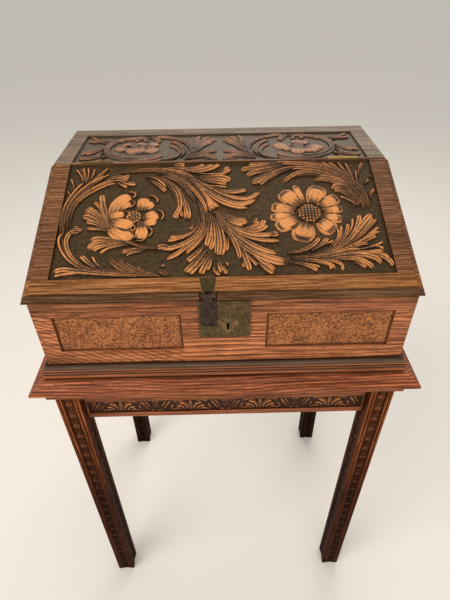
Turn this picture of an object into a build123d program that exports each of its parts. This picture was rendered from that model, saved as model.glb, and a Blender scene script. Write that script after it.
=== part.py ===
"""Slant-lidded bible box on its stand: carved oak, bronze lock and hasp, brass hinges.

Millimetres.  +Z is up, +X is to the right of someone facing the box, and the front faces -Y.
The origin is on the floor, under the middle of the stand.
Each sub-part is one STEP file in parts/.
"""
import math
import os

from build123d import *

# ------------------------------------------------------------------ size of the box
BOX_WIDTH = 556.0
BOX_DEPTH = 406.0
BOX_HEIGHT = 255.0          # stand top to the top of the box

# ------------------------------------------------------------------ stand
TOP_MARGIN = 32.0           # stand top, beyond the box on every side
TOP_THICKNESS = 17.0
TOP_EDGE = 5.0              # upright edge left below the bevel
TOP_BEVEL = 17.0            # the bevel, seen from above
TOP_ARRIS = 1.2             # wear on the edges of the top
STAND_HEIGHT = 737.0        # floor to the surface the box stands on
LEG_SIZE = 39.0
LEG_INSET = 25.3            # edge of the top to a leg's outer face
LEG_CORNER = 1.2            # rounding of a leg's corners
REED_PITCH = 5.4            # corner to groove, and groove to groove
REED_GROOVE = 0.9           # radius of the grooves between the reeds
LEG_STRIP_WIDTH = 15.0      # sunk strip down the middle of each face
LEG_STRIP_DEPTH = 1.6
APRON_HEIGHT = 108.0
APRON_THICKNESS = 18.0
APRON_SETBACK = 18.0        # leg's outer face to apron's face
FRIEZE_RISE = 11.0          # plain edge under the frieze
FRIEZE_HEIGHT = 31.0
FRIEZE_DEPTH = 2.6
FRIEZE_END = 3.0            # plain wood between the frieze and a leg
TENON_THICKNESS = 8.0
TENON_LENGTH = 21.0
TENON_HEIGHT = 40.0
TENON_SHOULDER = 10.0       # edge of the apron to its tenon
BED_HEIGHT = 24.0           # moulding under the top
BED_FILLET = 6.0            # its plain lower edge
BED_PROJECTION = 9.0        # lower edge, beyond the legs
BED_COVE = 6.0              # how far its cove sweeps out above that
BED_STEP = 1.0              # step between the edge and the cove
BED_RIM = 2.0               # upright edge over the cove
BLOCK_LEG = 58.0            # glue block, along each apron
BLOCK_HEIGHT = 38.0
TOP_SCREW_DIAMETER = 4.5
TOP_SCREW_BITE = 11.0       # length in the top
TOP_SCREW_NEAR = 14.0       # places in a glue block, from the two aprons
TOP_SCREW_FAR = 30.0
SCREW_SLOT_WIDTH = 0.2      # slot of any screw, in shank diameters
SCREW_SLOT_DEPTH = 0.2

# ------------------------------------------------------------------ box
BOX_BOARD = 13.0            # front, back and sides
BOX_REBATE = 5.0            # depth of the rebates that take the sides
BOTTOM_THICKNESS = 11.0
LID_THICKNESS = 12.0
LID_SLOPE = 21.8            # degrees
FIXED_TOP_DEPTH = 168.0     # back of the box to the knee
KNEE_FLAT = 2.5             # knee to the hinge line
JOINT_GAP = 1.0             # lid to fixed top, along the hinge line
RIM_GAP = 0.4               # lid to the rims under it
FRAME_SETIN = 3.7           # box front to the lower edge of the lid's frame
FRAME_SIDE = 3.5            # box side to the upper edge of the lid's moulding
NOSE_PROJECTION = 10.0      # lid moulding, beyond the frame
NOSE_QUIRK = 2.4            # depth of the step under the frame
NOSE_STEP = 1.4             # width of that step
NOSE_DEPTH = 8.0            # frame to the widest point of the ovolo
NOSE_EDGE = 1.6             # upright edge of the nose
NOSE_SWELL = 0.72           # fullness of the ovolo: its middle point, as shares of its width
NOSE_FALL = 0.30            # and of its height
NOSE_UNDERCUT = 2.4         # rounding under the nose
BORDER_SIDE = 24.5          # plain border, lid
BORDER_FRONT = 23.5
BORDER_BACK = 31.0          # plain border, fixed top
CARVING_DEPTH = 4.5         # sunk ground, below the borders
CARVING_ARRIS = 2.0         # wood left along the hinge line
CARVING_MARGIN = 1.0        # ground left at the front and back of the carving
CARVING_RISE = 2.7          # main leaves of the carving, above the sunk ground
CARVING_WIDTH = 500.0       # sunk ground that the leaves below are drawn for: its width,
CARVING_SLOPE = 252.3       # the lid's, from the frame's lower edge to the knee,
CARVING_TOP = 132.0         # and the fixed top's, from front to back
PANEL_INNER = 62.5          # front panels, from the middle of the box
PANEL_END = 27.7            # box side to a front panel
PANEL_LOW = 52.5            # above the stand top
PANEL_DROP = 25.0           # rim of the front board to the panels
PANEL_DEPTH = 3.2
SIDE_PANEL_END = 63.0       # front and back of the box to a side panel
NAIL_SIZE = 2.2
NAIL_LENGTH = 32.0
NAIL_END = 28.0             # first nail, from a board's end
BOARD_ARRIS = 0.8           # wear on the outer edges of the boards
BOX_CLEARANCE = 0.5         # box to the plinth moulding round it
PLINTH_WIDTH = 9.9
PLINTH_HEIGHT = 26.6
PLINTH_FOOT = 2.2           # upright edge under the lower bead
PLINTH_BEAD_LOW = 8.0       # height of the lower bead
PLINTH_BEAD_HIGH = 4.6      # height of the upper bead
PLINTH_QUIRK = 1.2          # grooves beside the beads
PLINTH_FILLET = 1.0         # upright edge over the upper bead
PLINTH_RELIEF = 1.5         # how far the beads swell
PLINTH_LEDGE = 3.8          # width left on top
PLINTH_SWEEP_IN = 0.6       # its hollow's middle point, as shares of the width
PLINTH_SWEEP_UP = 0.4       # and of the height

# Main leaves of the carving: root, middle and tip of each as x, y, and its greatest width.
# x runs from the middle of the board; y from the lid frame's lower edge, or from the front
# of the fixed top's sunk ground.
LID_LEAVES = [
    (-240, 106, -237, 170, -190, 220, 13), (-190, 212, -171, 219, -151, 213, 11),
    (-218, 206, -223, 226, -232, 243, 8), (-214, 205, -200, 223, -185, 243, 7),
    (-92, 77, -135, 87, -175, 119, 5), (-173, 118, -182, 152, -190, 185, 9),
    (-171, 115, -192, 141, -212, 156, 12), (-172, 113, -196, 132, -216, 138, 9),
    (-140, 87, -170, 93, -198, 94, 9), (-146, 85, -176, 87, -198, 78, 9),
    (-150, 32, -218, 56, -241, 104, 9), (-96, 28, -170, 38, -246, 38, 7),
    (-128, 32, -149, 46, -166, 61, 7), (-100, 29, -126, 39, -143, 52, 6),
    (-180, 43, -196, 54, -208, 66, 6),
    (-148, 152, -161, 166, -151, 182, 17), (-148, 142, -162, 134, -158, 114, 17),
    (-142, 130, -149, 114, -132, 108, 17), (-130, 130, -120, 118, -114, 108, 13),
    (-124, 136, -108, 142, -110, 154, 16), (-131, 148, -124, 162, -112, 171, 17),
    (-172, 227, -110, 236, -44, 216, 6), (-105, 233, -52, 206, -19, 146, 12),
    (-110, 220, -74, 190, -70, 138, 9), (-84, 204, -63, 178, -57, 134, 6),
    (-66, 188, -56, 162, -51, 132, 6),
    (-62, 226, -18, 187, 30, 166, 15), (18, 167, 47, 169, 64, 184, 9),
    (-48, 211, 0, 166, 42, 154, 8), (-12, 195, 16, 187, 42, 189, 7),
    (-38, 218, -10, 213, 14, 207, 13), (-12, 215, 6, 226, 14, 240, 8),
    (-94, 240, -50, 238, -10, 248, 9),
    (-38, 170, -36, 106, -90, 79, 9), (-36, 128, -52, 100, -84, 94, 6),
    (-23, 148, -37, 98, -84, 60, 9), (-22, 128, -34, 88, -54, 67, 7),
    (-28, 80, -38, 64, -52, 53, 8), (-24, 72, -38, 52, -54, 35, 9),
    (-19, 63, -25, 46, -31, 31, 9), (-20, 144, -20, 110, -24, 80, 8),
    (-15, 138, -9, 98, -10, 62, 13), (-10, 128, 0, 92, -1, 64, 8),
    (-5, 52, -3, 40, 0, 30, 7),
    (-12, 148, 11, 104, 26, 56, 9), (20, 90, 31, 62, 38, 36, 9), (35, 75, 54, 54, 75, 35, 9),
    (-12, 148, 30, 107, 84, 101, 10), (0, 126, 38, 96, 86, 88, 7),
    (-6, 134, 36, 86, 80, 65, 9), (-2, 122, 38, 74, 92, 49, 11),
    (-8, 147, 14, 131, 38, 127, 12), (30, 109, 50, 112, 65, 126, 11),
    (231, 147, 200, 217, 84, 247, 12), (224, 158, 190, 210, 100, 206, 9),
    (226, 150, 200, 196, 154, 213, 9), (128, 238, 90, 227, 50, 208, 12),
    (108, 246, 74, 238, 37, 232, 9), (214, 206, 205, 226, 196, 246, 6),
    (208, 214, 190, 233, 170, 247, 6), (218, 199, 213, 222, 208, 245, 5),
    (215, 150, 206, 182, 183, 187, 9),
    (140, 60, 196, 92, 236, 135, 10), (150, 61, 194, 92, 213, 134, 7),
    (166, 64, 210, 94, 241, 123, 6), (191, 72, 213, 84, 233, 92, 6),
    (150, 63, 176, 86, 184, 113, 6), (96, 64, 126, 71, 147, 91, 7),
    (100, 56, 160, 58, 238, 66, 8), (150, 53, 203, 56, 232, 43, 7),
    (160, 50, 199, 48, 217, 34, 7), (100, 52, 138, 48, 162, 34, 6),
]
TOP_LEAVES = [                  # one half; the other is its mirror image
    (-132, 16, -202, 66, -130, 118, 9), (-60, 15, -55, 80, -122, 125, 9),
    (-68, 20, -66, 64, -91, 99, 7), (-84, 12, -71, 48, -91, 79, 6),
    (-55, 30, -43, 80, -38, 127, 8), (-50, 35, -33, 70, -13, 94, 8),
    (-47, 61, -35, 92, -16, 117, 7), (-59, 22, -38, 28, -16, 40, 8),
    (-201, 79, -218, 62, -243, 43, 9), (-200, 91, -216, 102, -238, 124, 8),
    (-205, 52, -214, 37, -240, 27, 7), (-160, 121, -154, 112, -151, 103, 7),
    (-130, 123, -118, 110, -113, 97, 8),
]
SEED_HEADS = [(-136, 138, 11), (137, 139, 17)]      # round middles of the lid's flowers
TOP_SEED_HEAD = (-142, 68, 9)
# petals round the right flower: degrees, distance and radius
LID_PETALS = [
    (250, 33, 12), (312, 33, 11), (344, 30, 8), (10, 32, 8), (36, 34, 9.5), (68, 33, 12),
    (132, 33, 12), (160, 34, 8), (176, 34, 7.5), (196, 34, 8), (219, 34, 8.5),
]
TOP_PETALS = [
    (268, 16, 9), (312, 20, 8), (15, 18, 7), (75, 18, 8), (130, 20, 8), (200, 22, 8),
]

# ------------------------------------------------------------------ hinges
HINGE_LENGTH = 50.0
HINGE_INSET = 72.0          # box side to the middle of a hinge
HINGE_RISE = 0.6            # hinge line above the top of the box
KNUCKLE_RADIUS = 2.3
KNUCKLE_COUNT = 5
KNUCKLE_GAP = 0.3
PIN_RADIUS = 1.1
PIN_CLEARANCE = 0.05
LEAF_THICKNESS = 1.2
LEAF_GAP = 0.5              # leaf to leaf, lid shut
LEAF_HEIGHT = 11.0
HINGE_RELIEF = 0.4          # wood cut back round the knuckles
HINGE_SCREW_DIAMETER = 2.2
HINGE_SCREW_LENGTH = 8.0
HINGE_SCREW_DROP = 9.6      # hinge line to the screws
HINGE_SCREW_PITCH = 16.0

# ------------------------------------------------------------------ lock
PLATE_LEFT = -37.0
PLATE_RIGHT = 38.5
PLATE_HEIGHT = 67.8
PLATE_THICKNESS = 1.6
PLATE_TOP_GAP = 0.2         # plate to the rim of the front board
PLATE_CORNER = 1.5
PLATE_PIN_INSET = 7.5       # pins, from the plate's corners
PLATE_PIN_RISE = 4.6
PLATE_PIN_RADIUS = 1.2
PLATE_PIN_HEAD = 2.1
PLATE_PIN_DOME = 0.55       # how far the heads stand off the plate
PLATE_PIN_LENGTH = 9.0
KEYHOLE_X = 5.7
KEYHOLE_DEPTH = 41.0        # rim to the round part of the keyhole
KEYHOLE_RADIUS = 3.25
KEYHOLE_SLOT = 3.6
KEYHOLE_DROP = 12.5         # round part to the end of the slot
KEY_POST_RADIUS = 1.3
KEY_POST_SETBACK = 0.4      # plate's face to the end of the post
ESCUTCHEON_THICKNESS = 0.8
ESCUTCHEON_HALF = 15.5      # middle to the outside of an ear
ESCUTCHEON_EAR = 6.5        # radius of the two ears
ESCUTCHEON_EAR_RISE = 2.9   # keyhole to the middle of the ears
ESCUTCHEON_BODY = 8.5       # radius round the keyhole
ESCUTCHEON_CROWN = 4.0      # radius of the crown
ESCUTCHEON_CROWN_RISE = 8.8
ESCUTCHEON_TAIL = 17.5      # keyhole to the lower point
ESCUTCHEON_SHOULDER = 9.3   # half width at the keyhole, above the tail
ESCUTCHEON_HIP = 7.4        # half width of the tail's broad end
ESCUTCHEON_HIP_DROP = 13.1
CRESCENT_EAR = 3.6          # radius of the piercings in the ears
CRESCENT_EAR_RISE = 4.6
CRESCENT_CROWN = 2.7        # radius of the piercing in the crown
CRESCENT_CROWN_RISE = 8.5
CRESCENT_SHIFT = 0.6        # one circle off the other, in radii
CRESCENT_OVER = 1.05        # the second circle, in radii of the first
PIERCED_DOT = 0.9           # radius of the two lower holes
PIERCED_DOT_OUT = 4.4
PIERCED_DOT_DROP = 12.6
CASE_LEFT = -31.0
CASE_RIGHT = 33.0
CASE_DROP = 9.5             # rim to the lock's case
CASE_HEIGHT = 49.0
CASE_WALL = 1.2
CAP_THICKNESS = 1.2
CASE_POST = 5.0             # corner posts for the cap's screws
CAP_SCREW_DIAMETER = 2.0
CAP_SCREW_LENGTH = 7.0
BOLT_HEIGHT = 5.0
BOLT_DEPTH = 3.0
BOLT_TIP = -17.5            # tip of the bolt, drawn back
BOLT_TAIL = 24.0
BOLT_CLEARANCE = 0.2
BOLT_TALON = 3.0            # notch for the key
BRIDGE_THICKNESS = 2.0
BRIDGE_NEAR = 4.0           # bolt's tip to the first bridge
BRIDGE_FAR = 34.0           # bolt's tip to the second bridge
BRIDGE_RISE = 3.0           # bridges, above the bolt
SPRING_THICKNESS = 0.6
SPRING_WIDTH = 3.0
SPRING_GAP = 0.3
SPRING_REACH = 22.0
SPRING_INSET = 2.0          # first bridge to the spring

# ------------------------------------------------------------------ hasp
STRAP_MIDDLE = -21.75
STRAP_WIDTH = 20.5
STRAP_END_WIDTH = 22.5
STRAP_THICKNESS = 1.8
STRAP_LENGTH = 53.9         # hinge line to the lower end
STRAP_GAP = 1.0             # strap to lock plate
STRAP_LIP = 1.5             # radius of the finger lip
STRAP_CORNER = 2.5          # rounding of the lower corners
STRAP_NECK = 5.2            # hinge line to the full width of the strap
HASP_RADIUS = 2.8
HASP_DROP = 5.4             # lower edge of the lid's frame to the hinge line
HASP_NECK_WIDTH = 9.9
HASP_PIN_RADIUS = 1.15
HASP_PLATE_LENGTH = 22.8
HASP_PLATE_WIDE = 24.3
HASP_PLATE_NARROW = 18.2
HASP_PLATE_THICKNESS = 1.6
NOTCH_MARGIN = 2.4          # moulding cut away each side of the strap
STAPLE_WIDTH = 4.0
STAPLE_HEIGHT = 10.0
STAPLE_DEPTH = 9.4
STAPLE_WALL = 1.4
STAPLE_DROP = 42.9          # hinge line to the middle of the staple
SLOT_MARGIN = 1.3           # slot round the staple
SLOT_RISE = 16.5            # room for the staple to rise as the lid opens
HASP_PLATE_PIN_RADIUS = 1.2
HASP_PLATE_PIN_LENGTH = 6.0
HASP_PLATE_PIN_OUT = 6.1    # pins, from the middle of the plate
HASP_PLATE_PIN_UP = 16.4    # and from its lower edge

# ------------------------------------------------------------------ places that follow
BIG = 2.0 * BOX_WIDTH       # longer than anything here, for cuts that pass right through
MITRE_REACH = 80.0          # how far a mitre's cut runs, deeper than any moulding
LID_OVERRUN = 40.0          # how far the lid's blank runs past the knee before it is cut
TOUCH = 0.01                # how near an edge lies to the place it is picked by
TOP_WIDTH = BOX_WIDTH + 2 * TOP_MARGIN
TOP_DEPTH = BOX_DEPTH + 2 * TOP_MARGIN
STAND_UNDER = STAND_HEIGHT - TOP_THICKNESS
LEG_OUT_X = TOP_WIDTH / 2 - LEG_INSET
LEG_OUT_Y = TOP_DEPTH / 2 - LEG_INSET
LEG_IN_X = LEG_OUT_X - LEG_SIZE
LEG_IN_Y = LEG_OUT_Y - LEG_SIZE
APRON_BASE = STAND_UNDER - APRON_HEIGHT
BOX_TOP = STAND_HEIGHT + BOX_HEIGHT
FRONT = -BOX_DEPTH / 2
BACK = BOX_DEPTH / 2
SIDE = BOX_WIDTH / 2
KNEE_Y = BACK - FIXED_TOP_DEPTH
HINGE_Y = KNEE_Y + KNEE_FLAT
HINGE_Z = BOX_TOP + HINGE_RISE
SLOPE = math.radians(LID_SLOPE)
FRAME_LENGTH = (KNEE_Y - FRONT - FRAME_SETIN) / math.cos(SLOPE)
FRAME_WIDTH = BOX_WIDTH - 2 * FRAME_SIDE
FRAME_Y = FRONT + FRAME_SETIN
FRAME_Z = BOX_TOP - FRAME_LENGTH * math.sin(SLOPE)
PLATE_FRONT = FRONT - PLATE_THICKNESS
CASE_BACK = FRONT + BOX_BOARD - CAP_THICKNESS
STRAP_BACK = PLATE_FRONT - STRAP_GAP
STRAP_FRONT = STRAP_BACK - STRAP_THICKNESS
HASP_Y = STRAP_FRONT + HASP_RADIUS
HASP_Z = FRAME_Z - HASP_DROP


def lid_underside(y):
    """Height of the lid's underside over the place y."""
    return BOX_TOP - (KNEE_Y - y) * math.tan(SLOPE) - LID_THICKNESS / math.cos(SLOPE)


def rim(y):
    """Height of the boards under the lid at y."""
    return lid_underside(y) - RIM_GAP


FRONT_RIM = rim(FRONT)
PLATE_TOP = FRONT_RIM - PLATE_TOP_GAP
PANEL_BASE = STAND_HEIGHT + PANEL_LOW
PANEL_TOP = FRONT_RIM - PANEL_DROP
STAPLE_Z = HASP_Z - STAPLE_DROP


# ------------------------------------------------------------------ small helpers
def block(x0, x1, y0, y1, z0, z1):
    """A box between two corners."""
    middle = Pos((x0 + x1) / 2, (y0 + y1) / 2, (z0 + z1) / 2)
    return middle * Box(abs(x1 - x0), abs(y1 - y0), abs(z1 - z0))


def outline(start, *steps):
    """A closed face. A step is an end point, or a (middle, end) pair for an arc."""
    edges = []
    here = start
    for step in steps:
        if isinstance(step[0], tuple):
            edges.append(ThreePointArc(here, step[0], step[1]))
            here = step[1]
        else:
            edges.append(Line(here, step))
            here = step
    if here != start:
        edges.append(Line(here, start))
    return make_face(edges)


def along_x(face, x0, x1):
    """A (y, z) face drawn out from x0 to x1."""
    return extrude(Plane.YZ.offset(x0) * face, amount=x1 - x0)


def rod_x(radius, x0, x1, y, z):
    return Pos((x0 + x1) / 2, y, z) * Rot(0, 90, 0) * Cylinder(radius, x1 - x0)


def rod_y(radius, y0, y1, x, z):
    return Pos(x, (y0 + y1) / 2, z) * Rot(90, 0, 0) * Cylinder(radius, y1 - y0)


def wood_screw(diameter, length):
    """A slotted, countersunk screw: its face at the origin, its shank down -Z."""
    head_radius = diameter
    head_height = diameter / 2
    shank = Pos(0, 0, -length / 2) * Cylinder(diameter / 2, length)
    cone = Pos(0, 0, -head_height / 2) * Cone(diameter / 2, head_radius, head_height)
    slot = Box(BIG, diameter * SCREW_SLOT_WIDTH, 2 * diameter * SCREW_SLOT_DEPTH)
    return shank + cone - slot


def mitred_side(section, half_run, setback, turn):
    """One mitred length of a moulding round a rectangle.

    section is an (out, up) face, out from the rectangle. The piece is made at the front,
    half_run either side of the middle and setback from it, and turned into its place.
    """
    plane = Plane(origin=(0, -setback, 0), x_dir=(0, -1, 0), z_dir=(-1, 0, 0))
    run = extrude(plane * section, amount=BIG, both=True)
    reach = MITRE_REACH
    wedge = outline(
        (-half_run + reach, -setback + reach),
        (half_run - reach, -setback + reach),
        (half_run + reach, -setback - reach),
        (-half_run - reach, -setback - reach),
    )
    return Rot(0, 0, turn) * (run & extrude(wedge, amount=BIG, both=True))


def mitred_frame(section, half_x, half_y):
    """A moulding round a rectangle: its four sides by name."""
    return {
        "front": mitred_side(section, half_x, half_y, 0),
        "right": mitred_side(section, half_y, half_x, 90),
        "back": mitred_side(section, half_x, half_y, 180),
        "left": mitred_side(section, half_y, half_x, 270),
    }


def in_slope(shape):
    """Lays a shape drawn in the lid's own frame on the slope.

    There the origin is the middle of the frame's lower edge, X runs along that edge,
    Y up the slope and Z out of the lid's face.
    """
    return Pos(0, FRAME_Y, FRAME_Z) * Rot(LID_SLOPE, 0, 0) * shape


def carving(leaves, rounds, width, low, high, scale_x, scale_y):
    """Main forms of a carving, upright from under the ground at -CARVING_DEPTH.

    A leaf is two arcs from root to tip; a round is (x, y, radius). The forms keep to a
    ground of that width between low and high, and the scales fit the drawing to it.
    """
    drawing = []
    for x0, y0, x1, y1, x2, y2, breadth in leaves:
        root = Vector(x0 * scale_x, y0 * scale_y)
        middle = Vector(x1 * scale_x, y1 * scale_y)
        tip = Vector(x2 * scale_x, y2 * scale_y)
        aside = (tip - root).normalized().rotate(Axis.Z, 90) * (breadth / 2)
        drawing.append(make_face([
            ThreePointArc(root, middle + aside, tip),
            ThreePointArc(tip, middle - aside, root),
        ]))
    for x, y, radius in rounds:
        drawing.append(Pos(x * scale_x, y * scale_y) * Circle(radius))
    whole = drawing[0] + drawing[1:]
    whole &= Pos(0, (low + high) / 2) * Rectangle(width, high - low)
    return extrude(Pos(0, 0, -CARVING_DEPTH - TOUCH) * whole, amount=CARVING_RISE + TOUCH)


def petals(middle_x, middle_y, places):
    """Round petals about the middle of a flower, as (x, y, radius)."""
    return [
        (
            middle_x + distance * math.cos(math.radians(angle)),
            middle_y + distance * math.sin(math.radians(angle)),
            radius,
        )
        for angle, distance, radius in places
    ]


# ------------------------------------------------------------------ stand
def leg_section():
    """A square with two grooves and a sunk strip on each face, so reeds stand between."""
    section = fillet(Rectangle(LEG_SIZE, LEG_SIZE).vertices(), LEG_CORNER)
    half = LEG_SIZE / 2
    for turn in range(4):
        face = Pos(half, 0) * Rectangle(2 * LEG_STRIP_DEPTH, LEG_STRIP_WIDTH)
        for groove in (1, 2):
            for side in (-1, 1):
                place = side * (half - groove * REED_PITCH)
                face += Pos(half, place) * Circle(REED_GROOVE)
        section -= Rot(0, 0, 90 * turn) * face
    return section


def apron(half_run, setback, tenon_base, turn):
    """One rail between two legs, with its frieze sunk in the face and a tenon each end."""
    face = -setback
    inner = face + APRON_THICKNESS
    rail = block(-half_run, half_run, face, inner, APRON_BASE, STAND_UNDER)
    frieze_base = APRON_BASE + FRIEZE_RISE
    frieze_half = half_run - FRIEZE_END
    rail -= block(
        -frieze_half, frieze_half, face - 1, face + FRIEZE_DEPTH,
        frieze_base, frieze_base + FRIEZE_HEIGHT,
    )
    middle = (face + inner) / 2
    reach = half_run + TENON_LENGTH
    tenon = block(
        -reach, reach, middle - TENON_THICKNESS / 2, middle + TENON_THICKNESS / 2,
        tenon_base, tenon_base + TENON_HEIGHT,
    )
    tenon -= block(-half_run, half_run, face - 1, inner + 1, APRON_BASE, STAND_UNDER)
    return Rot(0, 0, turn) * (rail + tenon)


def make_stand():
    parts = {}
    low_tenon = APRON_BASE + TENON_SHOULDER
    high_tenon = STAND_UNDER - TENON_SHOULDER - TENON_HEIGHT
    face_x = LEG_OUT_X - APRON_SETBACK
    face_y = LEG_OUT_Y - APRON_SETBACK
    parts["apron_front"] = apron(LEG_IN_X, face_y, high_tenon, 0)
    parts["apron_back"] = apron(LEG_IN_X, face_y, high_tenon, 180)
    parts["apron_left"] = apron(LEG_IN_Y, face_x, low_tenon, 270)
    parts["apron_right"] = apron(LEG_IN_Y, face_x, low_tenon, 90)
    aprons = list(parts.values())

    leg = extrude(leg_section(), amount=STAND_UNDER)
    corners = {
        "front_left": (-1, -1), "front_right": (1, -1),
        "back_left": (-1, 1), "back_right": (1, 1),
    }
    legs = []
    for name, (side, end) in corners.items():
        here = Pos(side * (LEG_OUT_X - LEG_SIZE / 2), end * (LEG_OUT_Y - LEG_SIZE / 2), 0)
        parts["leg_" + name] = here * leg - aprons
        legs.append(here * Pos(0, 0, STAND_UNDER / 2) * Box(LEG_SIZE, LEG_SIZE, STAND_UNDER))

    cove_out = BED_PROJECTION + BED_COVE
    cove_low = BED_FILLET + BED_STEP
    cove_high = BED_HEIGHT - BED_RIM
    cove_run = BED_COVE + BED_STEP
    cove_rise = cove_high - cove_low
    bed = outline(
        (-APRON_SETBACK, 0),
        (BED_PROJECTION, 0),
        (BED_PROJECTION, BED_FILLET),
        (BED_PROJECTION - BED_STEP, cove_low),
        (
            (cove_out - cove_run * math.sqrt(0.5), cove_low + cove_rise * math.sqrt(0.5)),
            (cove_out, cove_high),
        ),
        (cove_out, BED_HEIGHT),
        (-APRON_SETBACK, BED_HEIGHT),
    )
    bed_base = STAND_UNDER - BED_HEIGHT
    for side, run in mitred_frame(bed, LEG_OUT_X, LEG_OUT_Y).items():
        parts["bed_mould_" + side] = Pos(0, 0, bed_base) * run - legs

    plank = block(
        -TOP_WIDTH / 2, TOP_WIDTH / 2, -TOP_DEPTH / 2, TOP_DEPTH / 2,
        STAND_UNDER, STAND_UNDER + TOP_EDGE,
    )
    lower = Pos(0, 0, STAND_UNDER + TOP_EDGE) * Rectangle(TOP_WIDTH, TOP_DEPTH)
    upper = Pos(0, 0, STAND_HEIGHT) * Rectangle(
        TOP_WIDTH - 2 * TOP_BEVEL, TOP_DEPTH - 2 * TOP_BEVEL
    )
    plank += loft([lower, upper])
    edge_places = [STAND_UNDER, STAND_UNDER + TOP_EDGE, STAND_HEIGHT]
    rims = []
    for height in edge_places:
        rims += plank.edges().filter_by_position(Axis.Z, height - TOUCH, height + TOUCH)
    plank = fillet(rims, TOP_ARRIS)

    screw = wood_screw(TOP_SCREW_DIAMETER, BLOCK_HEIGHT + TOP_SCREW_BITE)
    corner_x = face_x - APRON_THICKNESS
    corner_y = face_y - APRON_THICKNESS
    blocks = []
    screws = []
    for side, end in corners.values():
        triangle = outline(
            (side * corner_x, end * corner_y),
            (side * (corner_x - BLOCK_LEG), end * corner_y),
            (side * corner_x, end * (corner_y - BLOCK_LEG)),
        )
        wedge = extrude(
            Pos(0, 0, STAND_UNDER - BLOCK_HEIGHT) * triangle, amount=BLOCK_HEIGHT, dir=(0, 0, 1)
        )
        blocks.append(wedge - legs)
        for near, far in ((TOP_SCREW_NEAR, TOP_SCREW_FAR), (TOP_SCREW_FAR, TOP_SCREW_NEAR)):
            place = Pos(
                side * (corner_x - near), end * (corner_y - far), STAND_UNDER - BLOCK_HEIGHT
            )
            screws.append(place * Rot(180, 0, 0) * screw)
    parts["corner_blocks"] = [piece - screws for piece in blocks]
    parts["top_screws"] = screws
    parts["stand_top"] = plank - screws

    relief = PLINTH_WIDTH - PLINTH_RELIEF
    steps = [(0, 0), (relief, 0)]
    height = PLINTH_FOOT
    for bead in (PLINTH_BEAD_LOW, PLINTH_BEAD_HIGH):
        steps.append((relief, height))
        steps.append(((PLINTH_WIDTH, height + bead / 2), (relief, height + bead)))
        steps.append((relief - PLINTH_QUIRK, height + bead + PLINTH_QUIRK / 2))
        height += bead + PLINTH_QUIRK
    hollow_low = height + PLINTH_FILLET
    hollow_run = relief - PLINTH_LEDGE
    hollow_rise = PLINTH_HEIGHT - hollow_low
    steps += [
        (relief, height),
        (relief, hollow_low),
        (
            (relief - hollow_run * PLINTH_SWEEP_IN, hollow_low + hollow_rise * PLINTH_SWEEP_UP),
            (PLINTH_LEDGE, PLINTH_HEIGHT),
        ),
        (0, PLINTH_HEIGHT),
    ]
    plinth = outline(*steps)
    half_x = SIDE + BOX_CLEARANCE
    half_y = BACK + BOX_CLEARANCE
    for side, run in mitred_frame(plinth, half_x, half_y).items():
        parts["plinth_mould_" + side] = Pos(0, 0, STAND_HEIGHT) * run
    return parts


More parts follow.
